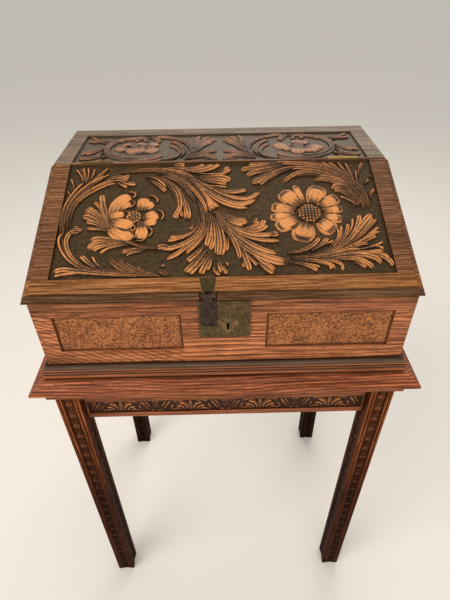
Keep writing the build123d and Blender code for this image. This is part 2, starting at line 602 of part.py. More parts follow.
# ------------------------------------------------------------------ lock, in the box
def make_lock():
    """The lock's fixed pieces, and the solid space it takes out of the front board."""
    parts = {}
    keyhole_z = FRONT_RIM - KEYHOLE_DEPTH
    case_high = FRONT_RIM - CASE_DROP
    case_low = case_high - CASE_HEIGHT

    keyhole = Circle(KEYHOLE_RADIUS) + Pos(0, -KEYHOLE_DROP / 2) * Rectangle(
        KEYHOLE_SLOT, KEYHOLE_DROP
    )
    face = Plane(origin=(KEYHOLE_X, PLATE_FRONT, keyhole_z), x_dir=(1, 0, 0), z_dir=(0, -1, 0))
    keyhole_cut = extrude(face * keyhole, amount=PLATE_THICKNESS + 1, both=True)
    slot = block(
        STRAP_MIDDLE - STAPLE_WIDTH / 2 - SLOT_MARGIN,
        STRAP_MIDDLE + STAPLE_WIDTH / 2 + SLOT_MARGIN,
        PLATE_FRONT - 1, FRONT + 1,
        STAPLE_Z - STAPLE_HEIGHT / 2 - SLOT_MARGIN,
        STAPLE_Z + STAPLE_HEIGHT / 2 + SLOT_RISE,
    )
    plate_low = PLATE_TOP - PLATE_HEIGHT
    plate = block(PLATE_LEFT, PLATE_RIGHT, PLATE_FRONT, FRONT, plate_low, PLATE_TOP)
    plate = fillet(plate.edges().filter_by(Axis.Y), PLATE_CORNER)
    pins = []
    for x in (PLATE_LEFT + PLATE_PIN_INSET, PLATE_RIGHT - PLATE_PIN_INSET):
        for z in (plate_low + PLATE_PIN_RISE, PLATE_TOP - PLATE_PIN_RISE):
            shank = rod_y(PLATE_PIN_RADIUS, PLATE_FRONT, FRONT + PLATE_PIN_LENGTH, x, z)
            dome = Pos(x, PLATE_FRONT, z) * Sphere(PLATE_PIN_HEAD)
            dome &= block(
                x - BIG, x + BIG, PLATE_FRONT - PLATE_PIN_DOME, PLATE_FRONT, z - BIG, z + BIG,
            )
            pins.append(shank + dome)
    parts["lock_plate_pins"] = pins
    parts["lock_plate"] = plate - keyhole_cut - slot - pins

    ear_x = ESCUTCHEON_HALF - ESCUTCHEON_EAR
    shape = Circle(ESCUTCHEON_BODY) + Pos(0, ESCUTCHEON_CROWN_RISE) * Circle(ESCUTCHEON_CROWN)
    for side in (-1, 1):
        shape += Pos(side * ear_x, ESCUTCHEON_EAR_RISE) * Circle(ESCUTCHEON_EAR)
    shape += outline(
        (-ESCUTCHEON_SHOULDER, 0), (ESCUTCHEON_SHOULDER, 0),
        (ESCUTCHEON_HIP, -ESCUTCHEON_HIP_DROP), (0, -ESCUTCHEON_TAIL),
        (-ESCUTCHEON_HIP, -ESCUTCHEON_HIP_DROP),
    )
    shape -= keyhole
    for x, y, size in (
        (-ear_x, CRESCENT_EAR_RISE, CRESCENT_EAR), (ear_x, CRESCENT_EAR_RISE, CRESCENT_EAR),
        (0, CRESCENT_CROWN_RISE, CRESCENT_CROWN),
    ):
        shade = Pos(x, y - size * CRESCENT_SHIFT) * Circle(size * CRESCENT_OVER)
        shape -= Pos(x, y) * Circle(size) - shade
    for side in (-1, 1):
        shape -= Pos(side * PIERCED_DOT_OUT, -PIERCED_DOT_DROP) * Circle(PIERCED_DOT)
    parts["lock_escutcheon"] = extrude(face * shape, amount=ESCUTCHEON_THICKNESS)

    space = block(CASE_LEFT, CASE_RIGHT, FRONT, FRONT + BOX_BOARD, case_low, case_high)
    case = block(CASE_LEFT, CASE_RIGHT, FRONT, CASE_BACK, case_low, case_high)
    case -= block(
        CASE_LEFT + CASE_WALL, CASE_RIGHT - CASE_WALL, FRONT, CASE_BACK,
        case_low + CASE_WALL, case_high - CASE_WALL,
    )
    bolt_low = STAPLE_Z - BOLT_HEIGHT / 2
    bolt_high = STAPLE_Z + BOLT_HEIGHT / 2
    bolt_back = FRONT + STAPLE_DEPTH - STRAP_GAP - PLATE_THICKNESS - STAPLE_WALL - BOLT_CLEARANCE
    bolt_front = bolt_back - BOLT_DEPTH
    for place in (BRIDGE_NEAR, BRIDGE_FAR):
        x = BOLT_TIP + place
        case += block(
            x, x + BRIDGE_THICKNESS, FRONT, CASE_BACK, case_low, bolt_high + BRIDGE_RISE,
        )
    guide = BOLT_CLEARANCE
    case -= block(
        BOLT_TIP, CASE_RIGHT - CASE_WALL, bolt_front - guide, bolt_back + guide,
        bolt_low - guide, bolt_high + guide,
    )
    screw = wood_screw(CAP_SCREW_DIAMETER, CAP_SCREW_LENGTH)
    screws = []
    for x in (CASE_LEFT + CASE_WALL, CASE_RIGHT - CASE_WALL - CASE_POST):
        for z in (case_low + CASE_WALL, case_high - CASE_WALL - CASE_POST):
            case += block(x, x + CASE_POST, FRONT, CASE_BACK, z, z + CASE_POST)
            place = Pos(x + CASE_POST / 2, CASE_BACK + CAP_THICKNESS, z + CASE_POST / 2)
            screws.append(place * Rot(-90, 0, 0) * screw)
    post_end = PLATE_FRONT + KEY_POST_SETBACK
    cap = block(CASE_LEFT, CASE_RIGHT, CASE_BACK, CASE_BACK + CAP_THICKNESS, case_low, case_high)
    post = rod_y(KEY_POST_RADIUS, post_end, CASE_BACK + CAP_THICKNESS, KEYHOLE_X, keyhole_z)
    parts["lock_screws"] = screws
    parts["lock_key_post"] = post
    parts["lock_case"] = case - screws
    parts["lock_cap"] = cap - screws - post

    bolt = block(BOLT_TIP, BOLT_TAIL, bolt_front, bolt_back, bolt_low, bolt_high)
    talon = Pos(KEYHOLE_X, 0, bolt_low) * Rot(90, 0, 0) * Cylinder(BOLT_TALON / 2, BIG)
    parts["lock_bolt"] = bolt - talon

    spring_low = bolt_high + SPRING_GAP
    spring_top = case_high - CASE_WALL
    spring_left = BOLT_TIP + BRIDGE_NEAR + BRIDGE_THICKNESS + SPRING_INSET
    spring_right = spring_left + SPRING_REACH
    middle = (spring_left + spring_right) / 2
    strip = outline(
        (spring_left, spring_top),
        ((middle, spring_low), (spring_right, spring_top)),
        (spring_right - SPRING_THICKNESS, spring_top),
        (
            (middle, spring_low + SPRING_THICKNESS),
            (spring_left + SPRING_THICKNESS, spring_top),
        ),
    )
    plane = Plane(origin=(0, (bolt_front + bolt_back) / 2, 0), x_dir=(1, 0, 0), z_dir=(0, -1, 0))
    parts["lock_spring"] = extrude(plane * strip, amount=SPRING_WIDTH / 2, both=True)
    return parts, space


# ------------------------------------------------------------------ hinges
def hinge(middle_x, lid_side):
    """One leaf of a hinge with its knuckles, and the space its whole hinge needs."""
    start = middle_x - HINGE_LENGTH / 2
    end = middle_x + HINGE_LENGTH / 2
    pitch = HINGE_LENGTH / KNUCKLE_COUNT
    turn = -1 if lid_side else 1
    near = HINGE_Y + turn * LEAF_GAP / 2
    far = near + turn * LEAF_THICKNESS
    leaf = block(start, end, near, far, HINGE_Z - LEAF_HEIGHT, HINGE_Z)
    pocket = leaf
    for number in range(KNUCKLE_COUNT):
        x0 = start + number * pitch
        x1 = x0 + pitch
        own = number % 2 == (1 if lid_side else 0)
        if own:
            inner0 = x0 if number == 0 else x0 + KNUCKLE_GAP / 2
            inner1 = x1 if number == KNUCKLE_COUNT - 1 else x1 - KNUCKLE_GAP / 2
            leaf += rod_x(KNUCKLE_RADIUS, inner0, inner1, HINGE_Y, HINGE_Z)
        else:
            clear = KNUCKLE_RADIUS + KNUCKLE_GAP
            leaf -= rod_x(clear, x0 - KNUCKLE_GAP / 2, x1 + KNUCKLE_GAP / 2, HINGE_Y, HINGE_Z)
    bore = PIN_RADIUS + (PIN_CLEARANCE if lid_side else 0)
    leaf -= rod_x(bore, start, end, HINGE_Y, HINGE_Z)
    screws = []
    screw = wood_screw(HINGE_SCREW_DIAMETER, HINGE_SCREW_LENGTH)
    for step in (-1, 0, 1):
        place = Pos(middle_x + step * HINGE_SCREW_PITCH, near, HINGE_Z - HINGE_SCREW_DROP)
        screws.append(place * Rot(90 * turn, 0, 0) * screw)
    pocket += rod_x(
        KNUCKLE_RADIUS + HINGE_RELIEF, start - HINGE_RELIEF, end + HINGE_RELIEF, HINGE_Y, HINGE_Z
    )
    return leaf - screws, screws, pocket


def make_hinges():
    parts = {}
    cuts = {True: [], False: []}
    screws = {True: [], False: []}
    pins = []
    for name, side in (("left", -1), ("right", 1)):
        middle = side * (SIDE - HINGE_INSET)
        for lid_side, word in ((True, "lid"), (False, "fixed")):
            leaf, leaf_screws, pocket = hinge(middle, lid_side)
            parts[f"hinge_leaf_{word}_{name}"] = leaf
            screws[lid_side] += leaf_screws
            cuts[lid_side] += [pocket] + leaf_screws
        pins.append(
            rod_x(PIN_RADIUS, middle - HINGE_LENGTH / 2, middle + HINGE_LENGTH / 2, HINGE_Y, HINGE_Z)
        )
    parts["hinge_screws_lid"] = screws[True]
    parts["hinge_screws_fixed"] = screws[False]
    parts["hinge_pins"] = pins
    return parts, cuts[True], cuts[False]


# ------------------------------------------------------------------ box
def box_nail_rows():
    """The nails that hold the box together, as solids."""
    half = NAIL_SIZE / 2
    low = STAND_HEIGHT + NAIL_END
    nails = []
    side_middle = SIDE - BOX_BOARD / 2
    for side in (-1, 1):
        x = side * side_middle
        for end in (-1, 1):
            wall = end * BACK
            tip = wall - end * NAIL_LENGTH
            high = (rim(FRONT) if end < 0 else BOX_TOP - LID_THICKNESS) - NAIL_END
            for step in range(3):
                z = low + (high - low) * step / 2
                nails.append(block(x - half, x + half, wall, tip, z - half, z + half))
        first = HINGE_Y + NAIL_END
        for step in range(3):
            y = first + (BACK - NAIL_END - first) * step / 2
            nails.append(block(x - half, x + half, y - half, y + half, BOX_TOP - NAIL_LENGTH, BOX_TOP))
        bottom_z = STAND_HEIGHT + BOTTOM_THICKNESS / 2
        for step in (-1, 0, 1):
            y = step * (BACK - 2 * NAIL_END)
            wall = side * SIDE
            tip = wall - side * NAIL_LENGTH
            nails.append(block(wall, tip, y - half, y + half, bottom_z - half, bottom_z + half))
    return nails


def worn(board, face):
    """Rounds the upright outer corners that a front or back board shows at the sides."""
    upright = board.edges().filter_by(Axis.Z)
    return fillet(upright.filter_by_position(Axis.Y, face - TOUCH, face + TOUCH), BOARD_ARRIS)


def make_box(lock_space, fixed_cuts, lock_pins):
    parts = {}
    inner_front = FRONT + BOX_BOARD
    inner_back = BACK - BOX_BOARD
    under_top = BOX_TOP - LID_THICKNESS
    nails = box_nail_rows()
    rebate_front = inner_front - BOX_REBATE
    rebate_back = inner_back + BOX_REBATE
    inner_side = SIDE - BOX_BOARD

    front = along_x(
        outline(
            (FRONT, STAND_HEIGHT), (inner_front, STAND_HEIGHT),
            (inner_front, rim(inner_front)), (FRONT, rim(FRONT)),
        ),
        -SIDE, SIDE,
    )
    front = worn(front, FRONT)
    back = worn(block(-SIDE, SIDE, inner_back, BACK, STAND_HEIGHT, under_top), BACK)
    for side in (-1, 1):
        edges = sorted((side * inner_side, side * BIG))
        front -= block(*edges, rebate_front, inner_front + 1, STAND_HEIGHT - 1, BOX_TOP)
        back -= block(*edges, inner_back - 1, rebate_back, STAND_HEIGHT - 1, BOX_TOP)
        edges = sorted((side * PANEL_INNER, side * (SIDE - PANEL_END)))
        front -= block(*edges, FRONT - 1, FRONT + PANEL_DEPTH, PANEL_BASE, PANEL_TOP)
    parts["box_front"] = front - lock_space - lock_pins - nails
    parts["box_back"] = back - nails

    step_y = HINGE_Y
    profile = outline(
        (rebate_front, STAND_HEIGHT), (rebate_back, STAND_HEIGHT),
        (rebate_back, under_top), (step_y, under_top),
        (step_y, rim(step_y)), (rebate_front, rim(rebate_front)),
    )
    for name, side in (("left", -1), ("right", 1)):
        edges = sorted((side * inner_side, side * SIDE))
        board = along_x(profile, *edges)
        outside = sorted((side * (SIDE - PANEL_DEPTH), side * (SIDE + 1)))
        board -= block(
            *outside, FRONT + SIDE_PANEL_END, BACK - SIDE_PANEL_END, PANEL_BASE, PANEL_TOP
        )
        parts["box_side_" + name] = board - nails
    bottom = block(
        -inner_side, inner_side, inner_front, inner_back,
        STAND_HEIGHT, STAND_HEIGHT + BOTTOM_THICKNESS,
    )
    parts["box_bottom"] = bottom - nails
    top_front = HINGE_Y + JOINT_GAP / 2
    top = block(-SIDE, SIDE, top_front, BACK, under_top, BOX_TOP)
    top_rim = top.edges().filter_by_position(Axis.Z, BOX_TOP - TOUCH, BOX_TOP + TOUCH)
    top = fillet(top_rim, BOARD_ARRIS)
    inner_x = FRAME_WIDTH / 2 - BORDER_SIDE
    ground_front = top_front + CARVING_ARRIS
    ground_back = BACK - BORDER_BACK
    top -= block(
        -inner_x, inner_x, ground_front, ground_back, BOX_TOP - CARVING_DEPTH, BOX_TOP + 1,
    )
    scale_x = 2 * inner_x / CARVING_WIDTH
    scale_y = (ground_back - ground_front) / CARVING_TOP
    head_x, head_y, _ = TOP_SEED_HEAD
    rounds = [TOP_SEED_HEAD] + petals(head_x, head_y, TOP_PETALS)
    half = Pos(0, ground_front, BOX_TOP) * carving(
        TOP_LEAVES, rounds, 2 * inner_x, CARVING_MARGIN,
        ground_back - ground_front - CARVING_MARGIN, scale_x, scale_y,
    )
    top += [half, mirror(half, about=Plane.YZ)]
    parts["box_top"] = top - fixed_cuts - nails
    parts["box_nails"] = nails
    return parts


# ------------------------------------------------------------------ lid and hasp
def lid_moulding_cut(reach):
    """What the plane takes off the lid's edge, drawn in (out, up) from the frame's edge."""
    nose = NOSE_PROJECTION
    low = -NOSE_DEPTH
    step = (NOSE_STEP, -NOSE_QUIRK)
    wear = BOARD_ARRIS
    worn_corner = (-wear * (1 - math.sqrt(0.5)), -wear * (1 - math.sqrt(0.5)))
    bulge = (nose * NOSE_SWELL, -NOSE_QUIRK - (NOSE_DEPTH - NOSE_QUIRK) * NOSE_FALL)
    upper = outline(
        (-wear, reach), (-wear, 0), (worn_corner, (0, -wear)), (0, -NOSE_QUIRK), step,
        (bulge, (nose, low)), (nose + reach, low), (nose + reach, reach),
    )
    foot = low - NOSE_EDGE
    tuck = nose - NOSE_UNDERCUT
    lower = outline(
        (nose, foot), (nose + reach, foot), (nose + reach, -LID_THICKNESS - reach),
        (tuck, -LID_THICKNESS - reach), (tuck, -LID_THICKNESS),
        ((nose - NOSE_UNDERCUT * (1 - math.sqrt(0.5)), (foot - LID_THICKNESS) / 2), (nose, foot)),
    )
    return upper + lower


def make_hasp():
    """The hasp: its plate in the lid's border, its strap, and what the lid gives up to them."""
    parts = {}
    plate = outline(
        (STRAP_MIDDLE - HASP_PLATE_NARROW / 2, 0), (STRAP_MIDDLE + HASP_PLATE_NARROW / 2, 0),
        (STRAP_MIDDLE + HASP_PLATE_WIDE / 2, HASP_PLATE_LENGTH),
        (STRAP_MIDDLE - HASP_PLATE_WIDE / 2, HASP_PLATE_LENGTH),
    )
    inlay = in_slope(extrude(plate, amount=-HASP_PLATE_THICKNESS))
    left = STRAP_MIDDLE - STRAP_WIDTH / 2
    right = STRAP_MIDDLE + STRAP_WIDTH / 2
    neck_left = STRAP_MIDDLE - HASP_NECK_WIDTH / 2
    neck_right = STRAP_MIDDLE + HASP_NECK_WIDTH / 2
    reach = math.hypot(FRAME_Y - HASP_Y, FRAME_Z - HASP_Z) * math.cos(
        math.atan2(FRAME_Z - HASP_Z, FRAME_Y - HASP_Y) - SLOPE
    )
    whole = inlay
    for x0, x1 in ((left, neck_left - KNUCKLE_GAP), (neck_right + KNUCKLE_GAP, right)):
        whole += in_slope(block(x0, x1, -reach, 0, -HASP_PLATE_THICKNESS, 0))
        whole += rod_x(HASP_RADIUS, x0, x1, HASP_Y, HASP_Z)
    whole -= rod_x(HASP_PIN_RADIUS, left, right, HASP_Y, HASP_Z)
    pins = []
    for place in (-1, 1):
        spot = (
            STRAP_MIDDLE + place * HASP_PLATE_PIN_OUT,
            HASP_PLATE_PIN_UP,
            -HASP_PLATE_PIN_LENGTH / 2,
        )
        pins.append(in_slope(Pos(*spot) * Cylinder(HASP_PLATE_PIN_RADIUS, HASP_PLATE_PIN_LENGTH)))
    parts["hasp_plate"] = whole - pins
    parts["hasp_plate_pins"] = pins
    parts["hasp_pin"] = rod_x(HASP_PIN_RADIUS, left, right, HASP_Y, HASP_Z)

    low = HASP_Z - STRAP_LENGTH
    high = HASP_Z - STRAP_NECK
    half = STRAP_END_WIDTH / 2
    face = Plane(origin=(STRAP_MIDDLE, STRAP_BACK, 0), x_dir=(1, 0, 0), z_dir=(0, -1, 0))
    corner = STRAP_CORNER
    bend = corner * (1 - math.sqrt(0.5))
    strap = extrude(
        face * outline(
            (-half, low + corner), ((-half + bend, low + bend), (-half + corner, low)),
            (half - corner, low), ((half - bend, low + bend), (half, low + corner)),
            (STRAP_WIDTH / 2, high), (-STRAP_WIDTH / 2, high),
        ),
        amount=STRAP_THICKNESS,
    )
    strap += block(neck_left, neck_right, STRAP_FRONT, STRAP_BACK, high, HASP_Z)
    strap += rod_x(HASP_RADIUS, neck_left, neck_right, HASP_Y, HASP_Z)
    lip_half = half - corner
    lip = rod_x(
        STRAP_LIP, STRAP_MIDDLE - lip_half, STRAP_MIDDLE + lip_half, STRAP_FRONT, low + STRAP_LIP
    )
    strap += lip & block(-BIG, BIG, STRAP_FRONT - BIG, STRAP_BACK, 0, BIG)
    strap -= rod_x(HASP_PIN_RADIUS + PIN_CLEARANCE, left, right, HASP_Y, HASP_Z)
    parts["hasp_strap"] = strap

    staple = block(
        STRAP_MIDDLE - STAPLE_WIDTH / 2, STRAP_MIDDLE + STAPLE_WIDTH / 2,
        STRAP_BACK, STRAP_BACK + STAPLE_DEPTH,
        STAPLE_Z - STAPLE_HEIGHT / 2, STAPLE_Z + STAPLE_HEIGHT / 2,
    )
    inside = STAPLE_HEIGHT / 2 - STAPLE_WALL
    eye_back = STRAP_BACK + STAPLE_DEPTH - STAPLE_WALL
    staple -= block(
        STRAP_MIDDLE - BIG, STRAP_MIDDLE + BIG,
        eye_back - BOLT_DEPTH - 3 * BOLT_CLEARANCE, eye_back,
        STAPLE_Z - inside, STAPLE_Z + inside,
    )
    parts["hasp_staple"] = staple

    notch_left = left - NOTCH_MARGIN
    notch_right = right + NOTCH_MARGIN
    notch = in_slope(
        block(notch_left, notch_right, -NOSE_PROJECTION - 2, 0, -LID_THICKNESS - 2, 2)
    )
    return parts, [notch, inlay] + pins


def make_lid(hinge_cuts, hasp_cuts):
    nose = NOSE_PROJECTION
    half = FRAME_WIDTH / 2
    board = block(-half - nose, half + nose, -nose, FRAME_LENGTH + LID_OVERRUN, -LID_THICKNESS, 0)
    cut = lid_moulding_cut(LID_OVERRUN)
    plane = Plane(origin=(0, 0, 0), x_dir=(0, -1, 0), z_dir=(-1, 0, 0))
    front_cut = extrude(plane * cut, amount=BIG, both=True)
    board -= front_cut
    for side in (-1, 1):
        board -= Pos(side * half, 0, 0) * Rot(0, 0, 90 * side) * front_cut
    lid = in_slope(board)
    end = HINGE_Y - JOINT_GAP / 2
    lid &= block(-BIG, BIG, -BIG, end, 0, BOX_TOP)

    inner = half - BORDER_SIDE
    depth = CARVING_DEPTH / math.cos(SLOPE)
    fall = math.tan(SLOPE)
    low_y = FRAME_Y + BORDER_FRONT * math.cos(SLOPE)
    low_z = FRAME_Z + BORDER_FRONT * math.sin(SLOPE)
    floor_y = low_y + CARVING_DEPTH * math.sin(SLOPE)
    floor_z = low_z - CARVING_DEPTH * math.cos(SLOPE)
    ground = outline(
        (floor_y, floor_z),
        (KNEE_Y, BOX_TOP - depth),
        (KNEE_Y, BOX_TOP + CARVING_DEPTH),
        (low_y - CARVING_DEPTH * math.sin(SLOPE), low_z + CARVING_DEPTH * math.cos(SLOPE)),
    )
    lid -= along_x(ground, -inner, inner)
    rounds = SEED_HEADS + petals(*SEED_HEADS[1][:2], LID_PETALS)
    lid += in_slope(carving(
        LID_LEAVES, rounds, 2 * inner, BORDER_FRONT + CARVING_MARGIN,
        FRAME_LENGTH - CARVING_MARGIN, 2 * inner / CARVING_WIDTH, FRAME_LENGTH / CARVING_SLOPE,
    ))
    return lid - hinge_cuts - hasp_cuts


# ------------------------------------------------------------------ all of it
def build():
    parts = make_stand()
    lock, lock_space = make_lock()
    hinges, lid_cuts, fixed_cuts = make_hinges()
    parts.update(make_box(lock_space, fixed_cuts, lock["lock_plate_pins"]))
    hasp, hasp_cuts = make_hasp()
    parts["lid_board"] = make_lid(lid_cuts, hasp_cuts)
    parts.update(lock)
    parts.update(hinges)
    parts.update(hasp)
    return parts


os.makedirs("parts", exist_ok=True)
for node, shape in build().items():
    if isinstance(shape, list):
        shape = Compound(children=[piece.solid() for piece in shape])
    export_step(shape, f"parts/{node}.step")
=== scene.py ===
"""Looks of a slant-lidded bible box on its stand: carving, timber and metal finishes.

Metres in the scene; the carving is drawn in millimetres on the board that carries it.
"""
import math

import bmesh
import bpy
from mathutils import Matrix, Vector, noise


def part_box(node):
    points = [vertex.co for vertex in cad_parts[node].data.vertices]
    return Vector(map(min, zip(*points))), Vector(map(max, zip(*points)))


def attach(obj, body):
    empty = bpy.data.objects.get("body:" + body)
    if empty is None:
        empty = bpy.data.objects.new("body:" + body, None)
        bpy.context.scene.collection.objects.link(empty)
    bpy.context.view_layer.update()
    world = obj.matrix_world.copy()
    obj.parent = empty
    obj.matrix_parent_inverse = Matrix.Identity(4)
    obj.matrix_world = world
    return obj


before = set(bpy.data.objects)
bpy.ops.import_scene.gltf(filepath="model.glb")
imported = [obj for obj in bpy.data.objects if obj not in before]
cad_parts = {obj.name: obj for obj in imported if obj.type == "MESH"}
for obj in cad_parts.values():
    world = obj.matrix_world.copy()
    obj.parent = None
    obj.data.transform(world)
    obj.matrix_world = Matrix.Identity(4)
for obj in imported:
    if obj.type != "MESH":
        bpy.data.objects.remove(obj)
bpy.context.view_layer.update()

bl_info = {
    "name": "Bible Box on Stand",
    "version": (1, 0, 0),
    "blender": (4, 5, 0),
    "location": "3D View > Sidebar > Bible Box",
    "description": "Carving, timber and metal finishes of a slant-lidded oak box on its stand",
    "category": "Object",
}

MM = 0.001                  # a millimetre in metres; the other lengths here are millimetres
CARVED_RISE = 4.7           # crests of the lid's and the top's carving over their ground
TENON = 21.0                # a rail's end, hidden in its leg
MOTIF = 123.0               # one length of the frieze's running pattern
FRIEZE_RISE = 2.5           # crests of the frieze over its ground
FRIEZE_END = 3.0            # plain wood left at each end of a frieze
STRIP_FOOT = 10.0           # lower end of a leg's carved strips, over the floor
STRIP_HEAD = 712.0          # upper end of those on its outer faces
STRIP_RISE = 1.6            # crests of the strips over their ground
STRIP_SINK = 0.4            # how far the strips' carving goes into its ground
STRIP_STEP = 30.0           # from boss to boss down a leg
STRIP_END = 12.0            # from the end of a strip to its nearest boss
LINE_STEPS = 12             # steps from one given point of a line to the next
ROOT_SHARE = 0.06           # share of a lobe's length in which it rises from its ground
RIDGE_WIDTH = 4.0           # about how wide one ridge of a lobe is
MOTTLE = 3.6                # about how far apart the worn patches on the carving are
REED_REACH = 20.0           # how far from the middle of a leg's face its tones are drawn
TOOLED_STEP = 1.2           # between the points of a tooled panel's floor
TOOLED_FADE = 5.0           # border in which the tooling dies out
TOOLED_RISE = 1.7           # highest tool marks over the panel's ground


# ------------------------------------------------------------------ sizes and colours
def linear(text):
    """An sRGB hex colour as the linear colour that Blender works in."""
    made = []
    for place in (1, 3, 5):
        value = int(text[place:place + 2], 16) / 255
        made.append(value / 12.92 if value <= 0.04045 else ((value + 0.055) / 1.055) ** 2.4)
    return (*made, 1.0)


def length(name, description, default):
    return bpy.props.FloatProperty(
        name=name, description=description, default=default, min=0.0, precision=4,
        subtype="DISTANCE", unit="LENGTH",
    )


def colour(name, description, default):
    return bpy.props.FloatVectorProperty(
        name=name, description=description, default=linear(default)[:3], size=3,
        min=0.0, max=1.0, subtype="COLOR",
    )


class BibleBoxSizes(bpy.types.PropertyGroup):
    """Sizes of the carving and of the stage."""

    slope: bpy.props.FloatProperty(
        name="Lid slope", description="Angle of the sloping lid", default=math.radians(21.8),
        subtype="ANGLE", unit="ROTATION",
    )
    frame_setin: length("Frame set in", "Box front to the lower edge of the lid's frame", 0.0037)
    fixed_top: length("Fixed top", "Back of the box to the top of the slope", 0.168)
    lid_border: length("Lid border", "Lower edge of the lid's frame to its sunk ground", 0.0235)
    top_border: length("Top border", "Front of the fixed top to its sunk ground", 0.005)
    top_carved: length("Top ground", "Depth of the fixed top's sunk ground", 0.132)
    carved_width: length("Carved width", "Width of the sunk grounds", 0.500)
    ground_depth: length("Ground depth", "How far the sunk grounds lie below the borders", 0.0045)
    panel_inner: length("Panel inner end", "Middle of the box to a front panel", 0.0625)
    panel_outer: length("Panel outer end", "Middle of the box to a front panel's far end", 0.2503)
    panel_low: length("Panel foot", "Bottom of the box to its panels", 0.0525)
    panel_high: length("Panel head", "Bottom of the box to the top of its panels", 0.1215)
    side_panel: length("Side panel", "Half the length of a side's panel", 0.140)
    frieze_rise: length("Frieze rise", "Lower edge of a rail to its frieze", 0.011)
    frieze_height: length("Frieze height", "Height of the frieze's sunk ground", 0.031)
    frieze_depth: length("Frieze depth", "Sunk ground of the frieze", 0.0026)
    panel_depth: length("Panel depth", "Sunk ground of the tooled panels", 0.0032)
    strip_depth: length("Leg strip depth", "Sunk strip down each face of a leg", 0.0016)
    sink: length("Sink", "How far the carving goes into the ground that carries it", 0.0006)
    floor_size: length("Floor", "Side of the studio floor", 30.0)


class BibleBoxColours(bpy.types.PropertyGroup):
    """Colours of the finishes."""

    lid_oak: colour("Lid oak", "Borders of the lid", "#74492A")
    # painted sheen in the fixed top's oak, greyer and lighter than the lid's
    top_oak_and_sheen: colour("Top oak", "Borders of the fixed top", "#7C6753")
    ground: colour("Carved ground", "Sunk ground behind the carving", "#362916")
    # painted sheen in this ground, greyer and lighter than the lid's ground
    top_ground_and_sheen: colour("Top ground", "Sunk ground of the fixed top, dulled by dust", "#4E4335")
    # the carving's colour runs from groove to crest by a brightness that holds painted shade and
    # painted highlight as well as wear and wax
    crest: colour("Carving crests", "Worn tops of the carving", "#C9854B")
    leg_crest: colour("Leg crests", "Tops of the legs' carving", "#6E4A33")
    top_crest: colour("Top crests", "Worn tops of the fixed top's carving", "#96694C")
    front_rail: colour("Front rail", "Lower border of the lid, rubbed by hands", "#8E572B")
    dust: colour("Dust", "Old dust and wax in the hollow of the box's moulding", "#5E4737")
    groove: colour("Carving grooves", "Wax and dirt in the carving's grooves", "#2E2115")
    box_oak: colour("Box oak", "Front, sides and back of the box", "#9C5B35")
    plinth_oak: colour("Plinth oak", "Moulding that holds the box", "#94552F")
    stand_oak: colour("Stand oak", "Top of the stand", "#984F2A")
    rail_oak: colour("Rail oak", "Rails of the stand and the moulding over them", "#8F4C26")
    leg_oak: colour("Leg oak", "Legs of the stand", "#84441F")
    plain_oak: colour("Plain oak", "Bottom board and glue blocks", "#A5805A")
    bronze: colour("Bronze", "Lock plate and hasp", "#7B6647")
    strap: colour("Strap", "Hanging strap of the hasp", "#5A4C45")
    brass: colour("Brass", "Hinges", "#A98F55")
    iron: colour("Iron", "Lock case, cap, bolt and nails", "#3A3632")
    steel: colour("Steel", "Screws, spring and pins", "#8A8781")
    floor: colour("Floor", "Studio floor", "#F0EBE3")


# ------------------------------------------------------------------ carving: lines and forms
def smooth_line(numbers, count):
    """Places and directions evenly along a smooth line through the points, and its length."""
    points = [Vector((numbers[i], numbers[i + 1])) for i in range(0, len(numbers), 2)]
    if len(points) == 2:
        points.insert(1, (points[0] + points[1]) / 2)
    ends = [2 * points[0] - points[1], *points, 2 * points[-1] - points[-2]]
    fine = []
    for i in range(1, len(ends) - 2):
        before, here, there, after = ends[i - 1:i + 3]
        for step in range(LINE_STEPS):
            t = step / LINE_STEPS
            fine.append(0.5 * (
                2 * here + (there - before) * t
                + (2 * before - 5 * here + 4 * there - after) * t ** 2
                + (3 * here - before - 3 * there + after) * t ** 3
            ))
    fine.append(points[-1])
    run = [0.0]
    for a, b in zip(fine, fine[1:]):
        run.append(run[-1] + (b - a).length)
    made = []
    at = 0
    for step in range(count + 1):
        want = run[-1] * step / count
        while at < len(fine) - 2 and run[at + 1] < want:
            at += 1
        share = (want - run[at]) / max(run[at + 1] - run[at], 1e-6)
        made.append((fine[at].lerp(fine[at + 1], share), (fine[at + 1] - fine[at]).normalized()))
    return made, run[-1]


# name: (width at the root, where it is full, length of the rounded tip, groove)
SHAPES = {
    "leaf": (0.38, 0.74, 0.14, 0.0),
    "stem": (0.85, 0.30, 0.08, 0.0),
    "petal": (0.46, 0.52, 0.30, 0.0),
    "gouge": (0.50, 0.50, 0.22, 0.55),
}


def fill_rim(bm, sheet):
    """Closes a sheet from below, which makes it a solid form."""
    rim = list({edge for vert in sheet for edge in vert.link_edges if edge.is_boundary})
    bmesh.ops.holes_fill(bm, edges=rim, sides=0)


def placed(points, x=0.0, y=0.0, side=1):
    """The points of a line, mirrored where side is -1, then moved by x and y."""
    return [y + n if i % 2 else x + side * n for i, n in enumerate(points)]


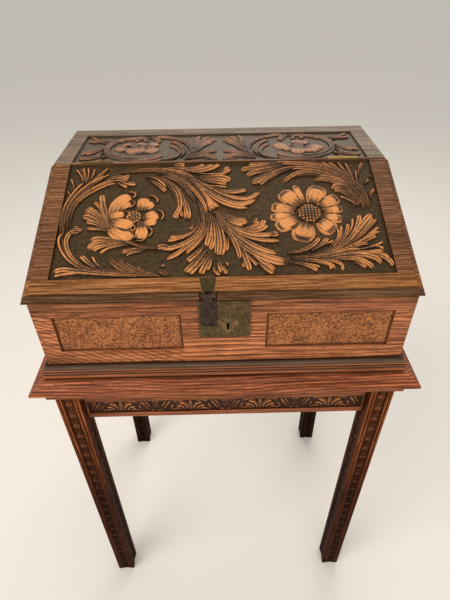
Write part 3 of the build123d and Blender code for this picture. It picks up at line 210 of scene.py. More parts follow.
# Each of these gives how high and how bright a lobe is at one place; the brightness is worn
# crests and waxed hollows together with painted shade at the root, between the ridges and at
# the edges, and painted highlight on the crests. side runs from -1 to 1 across it, edge is the
# same without its sign, t runs from 0 at the root to 1 at the tip, and flute from 0 on a ridge
# to 1 between two.
def petal_form(edge, t, flute, rim):
    """A dished petal, folded at its root, with painted shade at its root, in its folds and along
    its edge. A rim is bright along its outline alone.
    """
    fold = flute * max(0.0, 1 - 1.5 * t)
    cup = (1 - edge ** 2) * (1 - max(0.0, (t - 0.2) / 0.8) ** 3)
    height = (1 - 0.30 * cup) * (1 - 0.25 * fold)
    if rim:
        outline = max(edge, (t - 0.72) / 0.28)
        return height, 0.22 + 0.75 * max(0.0, 1 - abs(outline - 0.76) * 5)
    shade = (0.98 - 0.5 * fold - 0.14 * flute) * min(1.0, 0.06 + 2.2 * t)
    return height, shade * min(1.0, (1 - edge) * 5)


def gouged_form(edge, hollow):
    """A lobe hollowed by one gouge, bright along its two crests."""
    return 1 - hollow * (1 - edge) ** 1.2, max(0.15, 1 - abs(edge - 0.7) * 3.4)


def leaf_form(side, t, flute, lean):
    """A ridged leaf or stem that leans out of its bend, with painted shade at its root, between
    its ridges and along its edges, and its higher side painted lighter.
    """
    tip = min(1.0, max(0.0, (t - 0.45) / 0.4))
    shade = (1 - flute) ** 1.4 * (1 - tip) + (1 - 0.82 * flute) * tip
    shade *= (1.06 + lean * side) * (0.42 + 0.58 * min(1.0, 1.15 * t))
    return (1 - 0.30 * flute) * (1 + lean * side), shade * min(1.0, (1 - abs(side)) * 6)


def carve(bm, width, numbers, ground, shape="leaf", coarse=False, ridges=1):
    """One leaf, stem, petal or gouged lobe of the carving, standing on the ground.

    numbers are its middle line. It has a rounded ridge for about every 4 mm of its width,
    and no fewer than ridges, and the outside of its bend stands higher.
    """
    root, full, tip, hollow = SHAPES[shape]
    relief = bm.verts.layers.float["relief"]
    petal = shape == "petal"
    flutes = 1 if coarse or hollow else 3 if petal else max(ridges, round(width / RIDGE_WIDTH))
    across = 4 if coarse else 4 * flutes + 2
    _, run = smooth_line(numbers, 4)
    along = 6 if coarse else max(8, min(40, int(run / 3.0)))
    line, _ = smooth_line(numbers, along)
    # narrow lobes stand lower, and a lobe leans to the outside of its bend
    crest = ground["rise"] * min(1.0, 0.55 + 0.06 * width)
    lean = -0.2 if line[0][1].cross(line[-1][1]) > 0 else 0.2
    sheet = bmesh.ops.create_grid(bm, x_segments=across, y_segments=along, size=1.0)["verts"]
    end = max(tip * run, min(width * 0.5, run * 0.45)) / run
    for vert in sheet:
        # closer together towards the edges, where the section is steep
        side, t = math.sin(vert.co.x * math.pi / 2), (vert.co.y + 1) / 2
        edge = abs(side)
        place, heading = line[min(along, round(t * along))]
        # widening from the root, and rounded off at the tip
        swell = root + (1 - root) * math.sin(min(1.0, t / full) * math.pi / 2)
        if shape == "leaf":
            swell *= 1.12
        lift = worn = 1.0
        if t > 1 - end:
            over = (t - 1 + end) / end
            swell *= math.sqrt(max(0.0, 1 - over ** 2.2)) * 0.97 + 0.03
            lift = 1 - over ** 3
            worn = 1 - 0.45 * over ** 4
        if t < ROOT_SHARE:
            lift *= t / ROOT_SHARE
        flute = 0.5 + 0.5 * math.cos(math.pi * flutes * (side + 1))
        if petal:
            height, shade = petal_form(edge, t, flute, "rim" in ground)
        elif hollow:
            height, shade = gouged_form(edge, hollow)
        else:
            height, shade = leaf_form(side, t, flute, lean)
        height *= max(0.0, 1 - edge ** 2.6) ** 0.45
        spot = place + Vector((-heading.y, heading.x)) * side * width / 2 * swell
        worn *= 1 + 0.24 * noise.noise(Vector((spot.x / MOTTLE, spot.y / MOTTLE, 1.3)))
        vert[relief] = shade * worn * ground.get("tone", 1.0)
        vert.co = (spot.x, spot.y, ground["level"] - ground["sink"]
                   + (crest + ground["sink"]) * height * lift)
    fill_rim(bm, sheet)


def carve_all(bm, lobes, ground, shape="leaf", ridges=1):
    for width, *points in lobes:
        carve(bm, width, points, ground, shape, ridges=ridges)


def bead(bm, x, y, radius, ground, rise, shade, detail=1, stretch=(1.0, 1.0)):
    """A rounded boss, half sunk in the ground."""
    relief = bm.verts.layers.float["relief"]
    place = Matrix.Translation((x, y, ground["level"])) @ Matrix.Diagonal(
        (radius * stretch[0], radius * stretch[1], rise, 1.0))
    ball = bmesh.ops.create_icosphere(bm, subdivisions=detail, radius=1.0, matrix=place)["verts"]
    for vert in ball:
        up = (vert.co.z - ground["level"]) / rise
        # painted shade: darker towards the ground, lighter on top
        vert[relief] = shade * max(0.0, up) ** 0.7


def berries(bm, x, y, rings, radius, ground, shade):
    """Round berries in rings: each ring's radius, count, first angle and rise."""
    for ring, count, start, rise in rings:
        for step in range(count):
            turn = 2 * math.pi * step / count + start
            bead(bm, x + ring * math.cos(turn), y + ring * math.sin(turn), radius, ground,
                 rise, shade)


def new_carving():
    """An empty mesh, with the attribute that says how bright each point of it is, wear and
    painted shade and highlight together.
    """
    bm = bmesh.new()
    bm.verts.layers.float.new("relief")
    return bm


def as_piece(bm, name, bed, body, finish):
    """Turns the carving drawn on a bed into a piece that rides on its body."""
    bmesh.ops.transform(bm, matrix=bed, verts=bm.verts)
    bmesh.ops.recalc_face_normals(bm, faces=bm.faces)
    for face in bm.faces:
        face.smooth = True
    mesh = bpy.data.meshes.new(name)
    bm.to_mesh(mesh)
    bm.free()
    mesh.materials.append(finish)
    piece = bpy.data.objects.new(name, mesh)
    bpy.context.scene.collection.objects.link(piece)
    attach(piece, body)


def ground_of(depth, sink, rise):
    """A sunk ground: its level and the carving's sink into it and rise over it, in mm."""
    return {"level": -depth / MM, "sink": sink / MM, "rise": rise}


# ------------------------------------------------------------------ the lid's carving
# width, then the points of the middle line in millimetres: X across the lid, Y up the slope
LID_LEFT_SCROLL = [
    (4.5, -244, 104, -248, 130, -247, 158, -241, 180, -231, 200, -222, 214),
    (4, -240, 112, -242, 135, -241, 158, -235, 178, -225, 195, -214, 208, -200, 220, -188, 229),
    (4, -232, 118, -233, 140, -230, 160, -222, 175, -210, 187, -196, 198, -180, 207, -168, 211),
    (13, -190, 212, -176, 218, -162, 219, -151, 213),
    (7, -165, 214, -155, 222, -147, 223),
    (8, -165, 212, -152, 208, -141, 206, -137, 208),
    (6, -170, 212, -158, 204, -150, 200),
    (3.5, -222, 205, -226, 220, -232, 232, -240, 243),
    (3.5, -220, 208, -222, 222, -225, 236, -229, 246),
    (3.5, -219, 208, -217, 222, -218, 236, -220, 246),
    (3.5, -217, 208, -212, 220, -209, 232, -209, 244),
    (3.5, -216, 207, -207, 218, -198, 228, -190, 238, -184, 244),
    (3, -214, 204, -204, 213, -193, 221, -182, 230),
    (3.5, -236, 190, -238, 204, -242, 214, -245, 222),
    (3, -240, 180, -243, 188, -247, 194),
]
LID_LEFT_LEAF = [
    (5, -92, 76, -115, 78, -135, 86, -150, 95, -163, 106, -172, 118),
    (10, -170, 114, -177, 132, -183, 152, -188, 172, -190, 187),
    (6, -171, 116, -180, 136, -188, 153, -196, 165, -203, 170),
    (14, -170, 114, -181, 128, -193, 141, -204, 150, -213, 157),
    (10, -171, 113, -184, 123, -197, 133, -208, 139, -217, 140),
    (8, -172, 112, -184, 119, -194, 126, -203, 129, -210, 129),
    (6, -170, 110, -182, 114, -192, 116, -202, 117, -204, 121),
    (10, -140, 88, -158, 92, -175, 95, -190, 96, -198, 92),
    (11, -145, 86, -165, 89, -182, 89, -194, 84, -199, 77),
    (6, -140, 85, -158, 86, -175, 84, -187, 79, -192, 74),
    (5, -137, 84, -152, 83, -166, 80, -176, 75, -181, 69),
    (6, -110, 76, -125, 76, -138, 74, -150, 71),
    (4, -115, 73, -128, 71, -138, 68, -142, 64),
]
LID_LEFT_FOOT = [
    (5, -150, 31, -180, 36, -205, 44, -225, 58, -238, 75, -245, 92, -245, 103, -240, 113),
    (7, -155, 34, -180, 40, -202, 48, -218, 60, -230, 78, -234, 95, -231, 107, -222, 112, -215,
     111),
    (11, -232, 104, -226, 111, -218, 113, -214, 110),
    (5, -228, 112, -224, 118, -221, 123),
    (8, -180, 42, -194, 52, -203, 61, -209, 67),
    (5, -172, 42, -184, 52, -190, 62, -192, 66),
    (4, -95, 27, -120, 29, -150, 33, -180, 37, -205, 40, -228, 43, -243, 41, -248, 36),
    (5, -120, 27, -150, 30, -180, 33, -205, 36, -225, 35, -240, 31),
    (9, -190, 36, -215, 40, -232, 42, -245, 38),
    (5, -200, 34, -220, 36, -235, 33, -244, 31),
    (5, -90, 44, -84, 47),
]
LID_LEFT_GOUGES = [
    (6, -153, 29, -168, 37, -182, 47, -193, 58),
    (6, -116, 29, -132, 37, -144, 47, -152, 62),
    (5, -88, 27, -104, 32, -117, 39, -127, 48),
    (9, -128, 31, -145, 41, -158, 51, -167, 62),
    (8, -100, 29, -118, 35, -133, 43, -144, 53),
    (7, -75, 30, -84, 33, -93, 39),
]
LID_LEFT_FLOWER = [
    (22, -168, 134, -169, 152, -160, 170, -143, 183),
    (12, -163, 150, -152, 160, -141, 166),
    (22, -172, 130, -165, 110, -150, 101, -131, 104),
    (22, -172, 132, -160, 127, -147, 124, -136, 117),
    (15, -171, 130, -166, 141, -149, 144),
    (23, -125, 149, -123, 163, -121, 178),
    (16, -122, 152, -114, 160, -105, 165),
    (23, -121, 134, -108, 139, -97, 143),
    (15, -122, 122, -110, 127, -99, 128),
    (22, -125, 123, -122, 108, -123, 94),
]
# thin turned-over edges of the same petals
LID_LEFT_EDGES = [
    (4.5, -149, 188, -140, 188, -136, 182, -141, 177),
    (4.5, -140, 171, -136, 166, -139, 160, -146, 158),
    (4.5, -153, 149, -145, 147, -143, 140, -150, 136),
    (4.5, -137, 122, -132, 117, -135, 111, -140, 113),
    (4.5, -137, 96, -129, 100, -128, 108),
    (4.0, -116, 181, -107, 179, -101, 172, -101, 165),
    (4.0, -102, 150, -94, 148, -90, 139, -94, 130),
    (4.0, -116, 117, -108, 114, -106, 106, -112, 99),
    (4.0, -132, 93, -122, 91, -114, 98),
]
LID_TRUNK = [
    (6, -175, 226, -150, 234, -120, 238, -90, 236, -62, 228, -40, 215),
    (6, -100, 236, -75, 230, -52, 218, -36, 200, -26, 182, -20, 165, -17, 145),
    (6, -110, 232, -85, 226, -64, 213, -48, 196, -36, 178, -27, 160, -23, 142),
    (9, -110, 220, -90, 212, -75, 197, -67, 178, -65, 158, -70, 143, -76, 135),
    (6, -66, 160, -68, 146, -70, 132),
    (6, -65, 160, -63, 146, -60, 136),
    (6, -85, 205, -70, 195, -62, 178, -58, 160, -56, 145, -57, 132),
    (7, -66, 188, -60, 172, -54, 158, -51, 145, -50, 131),
    (7, -118, 214, -104, 206, -94, 196, -88, 188),
    (5, -125, 222, -108, 218, -96, 208, -88, 198),
    (8, -45, 212, -30, 190, -20, 172, -10, 160, -2, 156),
    (9, -28, 185, -20, 170, -15, 158, -9, 151),
    (8, -34, 195, -25, 180, -19, 165, -17, 155),
]
LID_TRUNK_GOUGES = [
    (7, -100, 226, -80, 218, -66, 208, -56, 195, -48, 182, -42, 170, -41, 163),
]
LID_CENTRE_LEAVES = [
    (5, -50, 232, -28, 226, -6, 225, 12, 226),
    (5, -42, 206, -22, 200, -4, 198, 12, 196),
    (5, -30, 242, -14, 243, 0, 247),
    (8, -62, 229, -38, 212, -15, 194, 8, 179, 30, 171, 46, 172, 58, 181, 66, 185),
    (9, -60, 222, -38, 204, -16, 184, 6, 168, 26, 160, 44, 163, 56, 173),
    (9, -50, 212, -30, 192, -10, 173, 10, 160, 28, 154, 43, 154),
    (9, -12, 196, 5, 187, 22, 185, 36, 188, 43, 189),
    (12, -38, 216, -20, 212, -2, 209, 12, 205),
    (10, -38, 219, -18, 217, 2, 217, 18, 210),
    (8, -12, 214, 0, 222, 8, 232, 12, 243),
    (7, -10, 216, 4, 226, 13, 232, 16, 238),
    (8, -95, 240, -70, 240, -45, 236, -25, 240, -10, 249),
    (7, -60, 238, -40, 241, -25, 248),
    (9, -75, 236, -50, 233, -30, 233, -12, 240, 0, 249),
    (8, -80, 245, -68, 247, -58, 245),
]
LID_FAN = [
    (9, -38, 170, -31, 150, -29, 130, -32, 112, -42, 96, -58, 84, -76, 77, -92, 78),
    (9, -78, 78, -88, 80, -97, 77),
    (7, -34, 135, -37, 118, -48, 104, -62, 96, -76, 92, -84, 92),
    (6, -42, 108, -55, 100, -68, 98, -80, 97),
    (6, -42, 122, -46, 115, -49, 111),
    (8, -23, 150, -24, 128, -30, 108, -42, 90, -58, 74, -72, 63, -84, 58),
    (7, -20, 135, -23, 112, -32, 94, -44, 78, -55, 66),
    (10, -28, 78, -38, 66, -46, 58, -53, 52),
    (10, -24, 72, -34, 58, -44, 46, -52, 37, -55, 33),
    (9, -22, 66, -32, 50, -41, 39, -49, 30),
    (10, -18, 62, -24, 48, -29, 37, -32, 29),
    (8, -16, 58, -20, 45, -24, 36),
    (9, -20, 145, -18, 125, -19, 105, -22, 88, -24, 78),
    (9, -17, 140, -14, 120, -13, 100, -14, 84, -19, 72),
    (11, -14, 138, -9, 118, -7, 98, -6, 80, -8, 62),
    (10, -12, 136, -3, 115, 0, 95, 1, 78, -2, 62),
    (6, 2, 104, 4, 92, 5, 80, 5, 68),
    (5, 8, 98, 9, 85, 8, 70),
    (6, -14, 44, -12, 36, -6, 29, -3, 27),
    (8, -6, 50, -4, 40, -1, 32),
    (6, 0, 45, 3, 36, 6, 28),
    (5, 4, 50, 8, 44),
    (8, -12, 150, -4, 130, 8, 110, 16, 92, 22, 75, 25, 60, 26, 54),
    (9, 20, 92, 28, 75, 33, 58, 37, 44, 39, 34),
    (6, 28, 78, 37, 62, 45, 50, 51, 42),
    (8, 35, 75, 48, 60, 60, 48, 70, 40, 76, 34),
    (8, 50, 50, 60, 40, 68, 32, 74, 28),
    (6, 33, 52, 31, 45, 30, 40),
]
LID_RIGHT_LOBES = [
    (9, -12, 150, 2, 130, 18, 114, 36, 103, 54, 98, 70, 98, 82, 101),
    (12, 70, 98, 78, 99, 86, 102),
    (7, 0, 128, 16, 110, 34, 98, 52, 90, 72, 87, 88, 88),
    (9, -6, 136, 10, 114, 28, 94, 48, 78, 66, 68, 82, 64),
    (9, -6, 130, 10, 106, 28, 86, 46, 70, 64, 60, 80, 54, 94, 50),
    (9, -2, 118, 12, 98, 28, 80, 45, 65, 62, 54, 80, 47, 92, 46),
    (14, -8, 148, 6, 136, 18, 128, 30, 125, 40, 128),
    (8, 5, 132, 18, 122, 28, 119, 34, 117),
    (7, 28, 110, 42, 112, 52, 118, 56, 127),
    (9, 30, 108, 48, 110, 60, 116, 66, 128),
    (9, 32, 106, 50, 106, 62, 110, 70, 118),
    (6, 46, 120, 52, 126, 54, 131),
]
LID_RIGHT_SCROLL = [
    (8, 230, 145, 231, 165, 224, 188, 210, 210, 190, 227, 165, 238, 135, 244, 105, 247, 80, 248),
    (7, 226, 150, 226, 168, 218, 188, 204, 207, 184, 222, 160, 231, 135, 235, 112, 234, 92, 227,
     75, 218),
    (8, 222, 160, 216, 178, 203, 197, 186, 211, 165, 222, 145, 227, 125, 222, 110, 212, 98, 203),
    (7, 228, 150, 222, 168, 211, 187, 196, 202, 178, 212, 158, 215),
    (6, 225, 145, 217, 165, 205, 183, 190, 198, 172, 207, 150, 209),
    (12, 130, 238, 110, 233, 90, 225, 72, 215, 55, 207, 48, 206),
    (10, 100, 226, 82, 216, 70, 208, 62, 200),
    (10, 110, 243, 90, 236, 70, 231, 52, 226, 42, 220),
    (9, 110, 247, 85, 241, 60, 237, 42, 235, 33, 231),
    (9, 100, 249, 75, 247, 55, 245, 46, 247),
    (5, 215, 205, 207, 222, 200, 238, 196, 249),
    (5, 210, 212, 198, 228, 188, 240, 180, 248),
    (5, 205, 218, 190, 232, 178, 240, 168, 249),
    (5, 218, 200, 214, 218, 211, 235, 208, 247),
    (5, 222, 195, 222, 212, 224, 228),
    (6, 225, 212, 228, 224, 233, 236, 238, 245),
    (5, 234, 195, 237, 202, 242, 206),
    (5, 240, 172, 243, 180, 247, 186),
    (5, 246, 210, 245, 216),
    (6, 238, 165, 240, 176, 246, 184),
    (7, 216, 150, 212, 168, 205, 182, 196, 192, 188, 196, 182, 192, 180, 186),
    (10, 204, 184, 196, 191, 187, 193, 179, 188),
    (6, 212, 152, 207, 165, 199, 176, 190, 184, 180, 184),
    (5, 214, 150, 206, 160, 196, 168, 188, 171),
]
LID_RIGHT_ACANTHUS = [
    (5, 176, 80, 190, 96, 199, 112, 202, 128),
    (6, 205, 96, 219, 112, 228, 122, 233, 130),
    (5, 158, 72, 170, 84, 176, 96, 176, 108),
    (5, 196, 78, 214, 88, 230, 97, 240, 100),
    (10, 140, 60, 160, 66, 180, 77, 197, 93, 212, 112, 226, 128, 236, 136),
    (8, 150, 60, 172, 70, 190, 86, 203, 104, 211, 122, 214, 136),
    (6, 150, 62, 168, 72, 182, 88, 190, 104, 194, 118),
    (5, 150, 64, 165, 74, 177, 90, 181, 105, 183, 114),
    (6, 165, 64, 188, 76, 208, 93, 222, 108, 234, 120, 242, 124),
    (7, 190, 72, 208, 80, 222, 88, 234, 93),
    (8, 130, 66, 145, 76, 154, 84, 160, 90),
    (5, 148, 76, 158, 80, 168, 84),
    (8, 95, 64, 112, 66, 128, 72, 140, 82, 147, 92),
]
LID_RIGHT_FOOT = [
    (5, 160, 64, 185, 72, 205, 82, 216, 88),
    (5, 195, 66, 215, 70, 232, 76, 242, 82),
    (6, 170, 50, 192, 50, 207, 44, 214, 38),
    (5, 205, 62, 225, 62, 238, 57, 245, 50),
    (5, 135, 50, 150, 45, 156, 38, 155, 32),
    (5, 98, 56, 120, 55, 145, 58, 168, 63, 190, 68, 212, 68),
    (6, 120, 56, 150, 60, 180, 67, 205, 77, 220, 78),
    (7, 130, 54, 160, 57, 190, 62, 215, 62, 241, 66),
    (8, 150, 52, 180, 56, 205, 57, 222, 52, 233, 42),
    (8, 160, 50, 185, 52, 203, 48, 213, 40, 218, 33),
    (6, 190, 46, 200, 42, 208, 34),
    (6, 100, 52, 125, 50, 145, 46, 158, 40, 163, 33),
    (6, 95, 48, 115, 44, 128, 38, 138, 31),
    (5, 118, 46, 132, 41, 142, 37),
    (7, 185, 55, 210, 58, 230, 56, 243, 47, 248, 36),
    (5, 220, 74, 232, 72, 240, 67),
]
# narrow stems with two ridges all the same
LID_LEFT_TWIN = [
    (5, -236, 112, -237, 135, -235, 156, -227, 175, -214, 191, -198, 204, -182, 212, -168, 217),
]
LID_RIGHT_TWINS = [
    (5, 180, 68, 202, 80, 220, 93, 233, 104, 241, 110),
    (5, 130, 52, 150, 50, 165, 46, 173, 40, 172, 30),
]
# the right flower: direction in degrees, distance, length and width of each petal
RIGHT_PETALS = [
    (251, 20, 34, 32), (312, 19, 29, 26), (344, 21, 27, 15), (8, 21, 30, 13), (33, 21, 34, 20),
    (69, 19, 38, 28), (107, 20, 38, 10), (132, 21, 37, 26), (166, 21, 36, 18),
    (187, 24, 35, 13), (208, 21, 36, 22),
]
RIGHT_FLOWER = (137, 139)
LEFT_FLOWER = (-136, 138)
# the rings of berries: radius, count, first angle and rise
LEFT_BERRIES = ((0.0, 1, 0.0, 5.6), (4.9, 6, 4.9, 5.208), (9.6, 12, 9.6, 4.832))
TOP_BERRIES = ((0.0, 1, 0.0, 4.4), (5.4, 6, 0.0, 4.4))
# the right flower's seed head: half its rows and columns, how far apart, and its reach
SEED_ROWS, SEED_STEP, SEED_REACH = 3, 5.0, 17.0


def flower_right(bm, ground):
    """The open flower: broad back petals, dished front petals and a bossed seed head."""
    cx, cy = RIGHT_FLOWER
    back = dict(ground, rise=ground["rise"] * 0.74, rim=True)
    for spread, reach, petal_bed in ((1.25, 5.0, back), (0.98, -1.0, ground)):
        for angle, start, run, width in RIGHT_PETALS:
            turn = math.radians(angle)
            heading = Vector((math.cos(turn), math.sin(turn)))
            points = []
            for share in (0.0, 0.5, 1.0):
                points.extend(Vector((cx, cy)) + heading * (start + (run + reach) * share))
            carve(bm, width * spread, points, petal_bed, "petal")
    # a dark dome under the seeds, painted shade between them
    bead(bm, cx, cy, 17.5, ground, rise=4.2, shade=0.10, detail=3)
    places = [step * SEED_STEP for step in range(-SEED_ROWS, SEED_ROWS + 1)]
    for y in places:
        for x in places:
            if math.hypot(x, y) < SEED_REACH:
                bead(bm, cx + x, cy + y, 2.35, ground, 5.6 - 0.006 * (x * x + y * y), 1.5)


def flower_left(bm, ground):
    """The half-open flower: curling petals round a heap of berries."""
    carve_all(bm, LID_LEFT_FLOWER, ground, "petal")
    carve_all(bm, LID_LEFT_EDGES, dict(ground, rise=ground["rise"] * 1.1), "stem")
    # a dark dome under the berries, painted shade between them
    bead(bm, *LEFT_FLOWER, 12.5, ground, rise=4.0, shade=0.10, detail=3)
    berries(bm, *LEFT_FLOWER, LEFT_BERRIES, 2.3, ground, shade=1.5)


# ------------------------------------------------------------------ the fixed top's carving
# as on the lid, with Y towards the back; the right side's scroll mirrors the left's
TOP_SCROLL = [
    (11, -48, 96, -34, 118, -20, 136, -6, 146),
    (9, -58, 62, -36, 76, -20, 84, -5, 90),
    (8, -62, 52, -44, 60, -26, 64, -8, 62),
    (7, -28, 46, -16, 54, -4, 52),
    (9, -178, 50, -150, 48, -126, 52, -108, 62, -102, 76),
    (7, -150, 44, -128, 44, -108, 48, -98, 58),
    (7, -100, 46, -88, 54, -82, 66),
    (7, -230, 46, -214, 50, -200, 56),
    (9, -130, 56, -160, 60, -185, 74, -200, 95, -203, 118, -194, 140, -175, 152, -150, 158, -128,
     158),
    (8, -60, 55, -52, 80, -52, 105, -60, 128, -78, 148, -100, 160, -125, 165),
    (7, -68, 60, -62, 85, -66, 108, -78, 128, -92, 140),
    (6, -85, 50, -73, 65, -71, 85, -78, 105, -92, 120),
    (9, -55, 70, -45, 95, -42, 120, -42, 145, -37, 168),
    (9, -50, 75, -38, 95, -32, 112, -20, 128, -12, 135),
    (8, -48, 100, -38, 130, -25, 150, -15, 158),
    (7, -60, 65, -40, 72, -25, 80, -15, 85),
    (7, -60, 58, -40, 62, -25, 68, -18, 66),
    (9, -200, 120, -212, 105, -225, 95, -245, 82),
    (8, -205, 100, -220, 90, -235, 80),
    (7, -200, 130, -215, 140, -230, 155, -240, 168),
    (9, -195, 140, -212, 145, -230, 143, -242, 150),
    (7, -205, 90, -212, 78, -208, 68),
    (7, -195, 70, -215, 62, -235, 60, -243, 68),
    (9, -180, 160, -182, 148, -178, 140),
    (9, -160, 162, -155, 152, -150, 142),
    (8, -140, 160, -138, 148, -134, 140),
    (10, -130, 165, -122, 158, -115, 148, -112, 135),
    (9, -175, 66, -182, 74, -178, 80),
]
TOP_LEFT_FLOWER = [
    (39, -150, 118, -150, 100, -148, 82),
    (29, -132, 110, -122, 98, -112, 88),
    (24, -165, 115, -178, 105, -186, 98),
    (20, -165, 118, -172, 132),
    (20, -145, 120, -142, 136),
    (20, -130, 116, -120, 126, -110, 131),
]
TOP_RIGHT_FLOWER = [
    (32, 126, 116, 112, 108, 98, 98),
    (37, 142, 112, 146, 122, 150, 136),
    (27, 156, 106, 172, 98, 182, 88),
    (29, 140, 98, 138, 84, 136, 70),
    (15, 152, 96, 156, 85, 160, 76),
    (15, 160, 98, 166, 85, 170, 76),
    (15, 124, 104, 119, 94, 120, 84),
]


# ------------------------------------------------------------------ frieze, leg strips and panels
# half of one length of the frieze's pattern; the other half is its mirror image
FRIEZE_LEAVES = [
    (8.5, 56, 2, 55, 12, 49.5, 20, 39, 23),
    (7.5, 50.5, 2, 49, 9, 44, 13.5, 35, 14),
    (5, 45, 2, 43.5, 6, 39, 8, 34, 6.5),
]
FRIEZE_STRAPS = [
    (4.4, 59, 2, 58, 15, 52, 25, 43, 28.5, 34, 27, 28, 21),
    (4.4, 0, 4, 5, 3.5, 10, 5),
    (5.0, 9, 4, 15, 10, 20, 19, 27, 29),
    (4.2, 6, 10, 11, 15, 15, 22, 19, 30),
    (4.0, 22, 3, 27, 9, 29, 16, 30, 20),
    (4.4, 38, 2, 34, 6, 28, 4),
]
# x, y, radius and shade
FRIEZE_BERRIES = [
    (-3.2, 27, 3.0, 0.9), (3.2, 27, 3.0, 0.9), (0, 22, 2.8, 0.7), (0, 16, 3.0, 0.55),
    (-3.4, 19, 1.8, 0.6), (3.4, 19, 1.8, 0.6),
]
# the leaves under each boss of a leg's strip, from the boss's middle
STRIP_LEAVES = [
    (4.8, -4.8, -9, 2.2, -9.5, 4.9, -1, 4.4, 7),
    (6.4, -4.2, -13, 0.4, -14.5, 4.2, -20),
    (4.6, -5.0, -17.5, -2.5, -19, 1.0, -23),
]


def frieze(bm, half_run, ground):
    """A running pattern of strapwork, leaves and berries, mirrored about each stem."""
    count = math.ceil(half_run / MOTIF) + 1
    for middle in [step * MOTIF for step in range(-count, count + 1)]:
        for side in (-1, 1):
            for lobes, tone in ((FRIEZE_LEAVES, 1.15), (FRIEZE_STRAPS, 0.85)):
                for width, *points in lobes:
                    line = placed(points, middle, side=side)
                    if max(line[0::2]) <= half_run - 1 and min(line[0::2]) >= 1 - half_run:
                        carve(bm, width, line, dict(ground, tone=tone), coarse=True)
        for x, y, radius, shade in FRIEZE_BERRIES:
            if abs(middle + x) < half_run - 4:
                bead(bm, middle + x, y, radius, ground, 2.4, shade)
        stem = middle + MOTIF / 2
        if abs(stem) < half_run - 3:
            carve(bm, 6.5, (stem, 1.5, stem, 14, stem, 29.5), ground, "stem")


def leg_strip(bm, bottom, top, ground, inner):
    """Bosses with scooped leaves between them, or a wavy stem with leaves on an inner face."""
    for at in range(int((top - bottom) / STRIP_STEP) + 1):
        y = top - STRIP_END - at * STRIP_STEP
        if y < bottom + STRIP_END:
            break
        if inner:
            side = 1 if at % 2 else -1
            for width, points, shape in ((3.4, (-4, -15, 3.5, 0, 4, 13), "stem"),
                                         (6.5, (1, -8, -4, -1, -4.5, 7), "leaf")):
                carve(bm, width, placed(points, y=y, side=side), ground, shape, coarse=True)
        else:
            bead(bm, -1.2, y, 5.4, ground, rise=1.5, shade=1.25, detail=2, stretch=(1.05, 1.25))
            for width, *points in STRIP_LEAVES:
                carve(bm, width, placed(points, y=y), ground, coarse=True)


def tooled_panel(bm, x0, x1, y0, y1, depth):
    """The floor of a sunk panel, worked all over with short wandering tool strokes."""
    relief = bm.verts.layers.float["relief"]
    place = Matrix.Translation(((x0 + x1) / 2, (y0 + y1) / 2, 0)) @ Matrix.Diagonal(
        ((x1 - x0) / 2, (y1 - y0) / 2, 1, 1))
    sheet = bmesh.ops.create_grid(
        bm, x_segments=int((x1 - x0) / TOOLED_STEP), y_segments=int((y1 - y0) / TOOLED_STEP),
        size=1.0, matrix=place)["verts"]
    for vert in sheet:
        x, y = vert.co.x, vert.co.y
        near = min(x - x0, x1 - x, y - y0, y1 - y)
        # strokes about 4 mm wide and 2 mm high, which wander every 30 mm
        bent = 3 * noise.noise(Vector((x / 30, y / 30, 7)))
        stroke = noise.noise(Vector((x / 3.6 + bent, y / 2.2, 0.3)))
        fine = noise.noise(Vector((x / 2.1, y / 2.0, 5.1)))
        worn = 1 - abs(stroke) * 2.2 + 0.35 * fine
        height = max(0.0, min(1.0, 0.25 + 0.6 * worn)) * min(1.0, near / TOOLED_FADE)
        vert[relief] = height
        vert.co.z = -depth - 0.3 if near < 0.1 else -depth + 0.15 + TOOLED_RISE * height
    fill_rim(bm, sheet)


# ------------------------------------------------------------------ finishes
TINT = {"data_type": "RGBA", "blend_type": "MULTIPLY"}
COVER = {"data_type": "RGBA"}
DRY_FIBRE = linear("#B09A80")       # a fibre with the wax gone from it
RUBBED_OAK = linear("#C98A50")      # an arris worn down to golden wood
# tones that a colour is multiplied by
LEG_FOOT_PAINTED_SHADE = (0.13, 0.06, 0.045, 1.0)        # painted shade on a leg near the floor
STRIP_FOOT_PAINTED_SHADE = (0.20, 0.14, 0.13, 1.0)       # painted shade on its carving there
INNER_LEG_PAINTED_SHADE = (0.40, 0.32, 0.30, 1.0)        # painted shade on a leg's faces towards the middle of the stand
BOARD_FOOT_TONE = (1.34, 1.34, 1.28, 1.0)       # the foot of the box's front
LID_NOSE_PAINTED_SHADE = (0.42, 0.50, 0.66, 1.0)         # painted shade on the lid's nose, beyond its frame
# how bright a leg's face is by the distance from its middle in millimetres: strip, groove,
# reed, groove and corner reed; the near black in the grooves is painted shade
REED_TONES = (
    (6.6, 0.45), (7.2, 0.05), (9.3, 0.05), (10.0, 1.3), (12.6, 1.45), (13.2, 0.06),
    (14.9, 0.06), (15.5, 1.35), (18.6, 1.45), (19.2, 0.9),
)
# heights in metres where the painted shade on a leg starts and where it is darkest
LEG_DARKENS, LEG_DARKEST = 0.72, 0.35


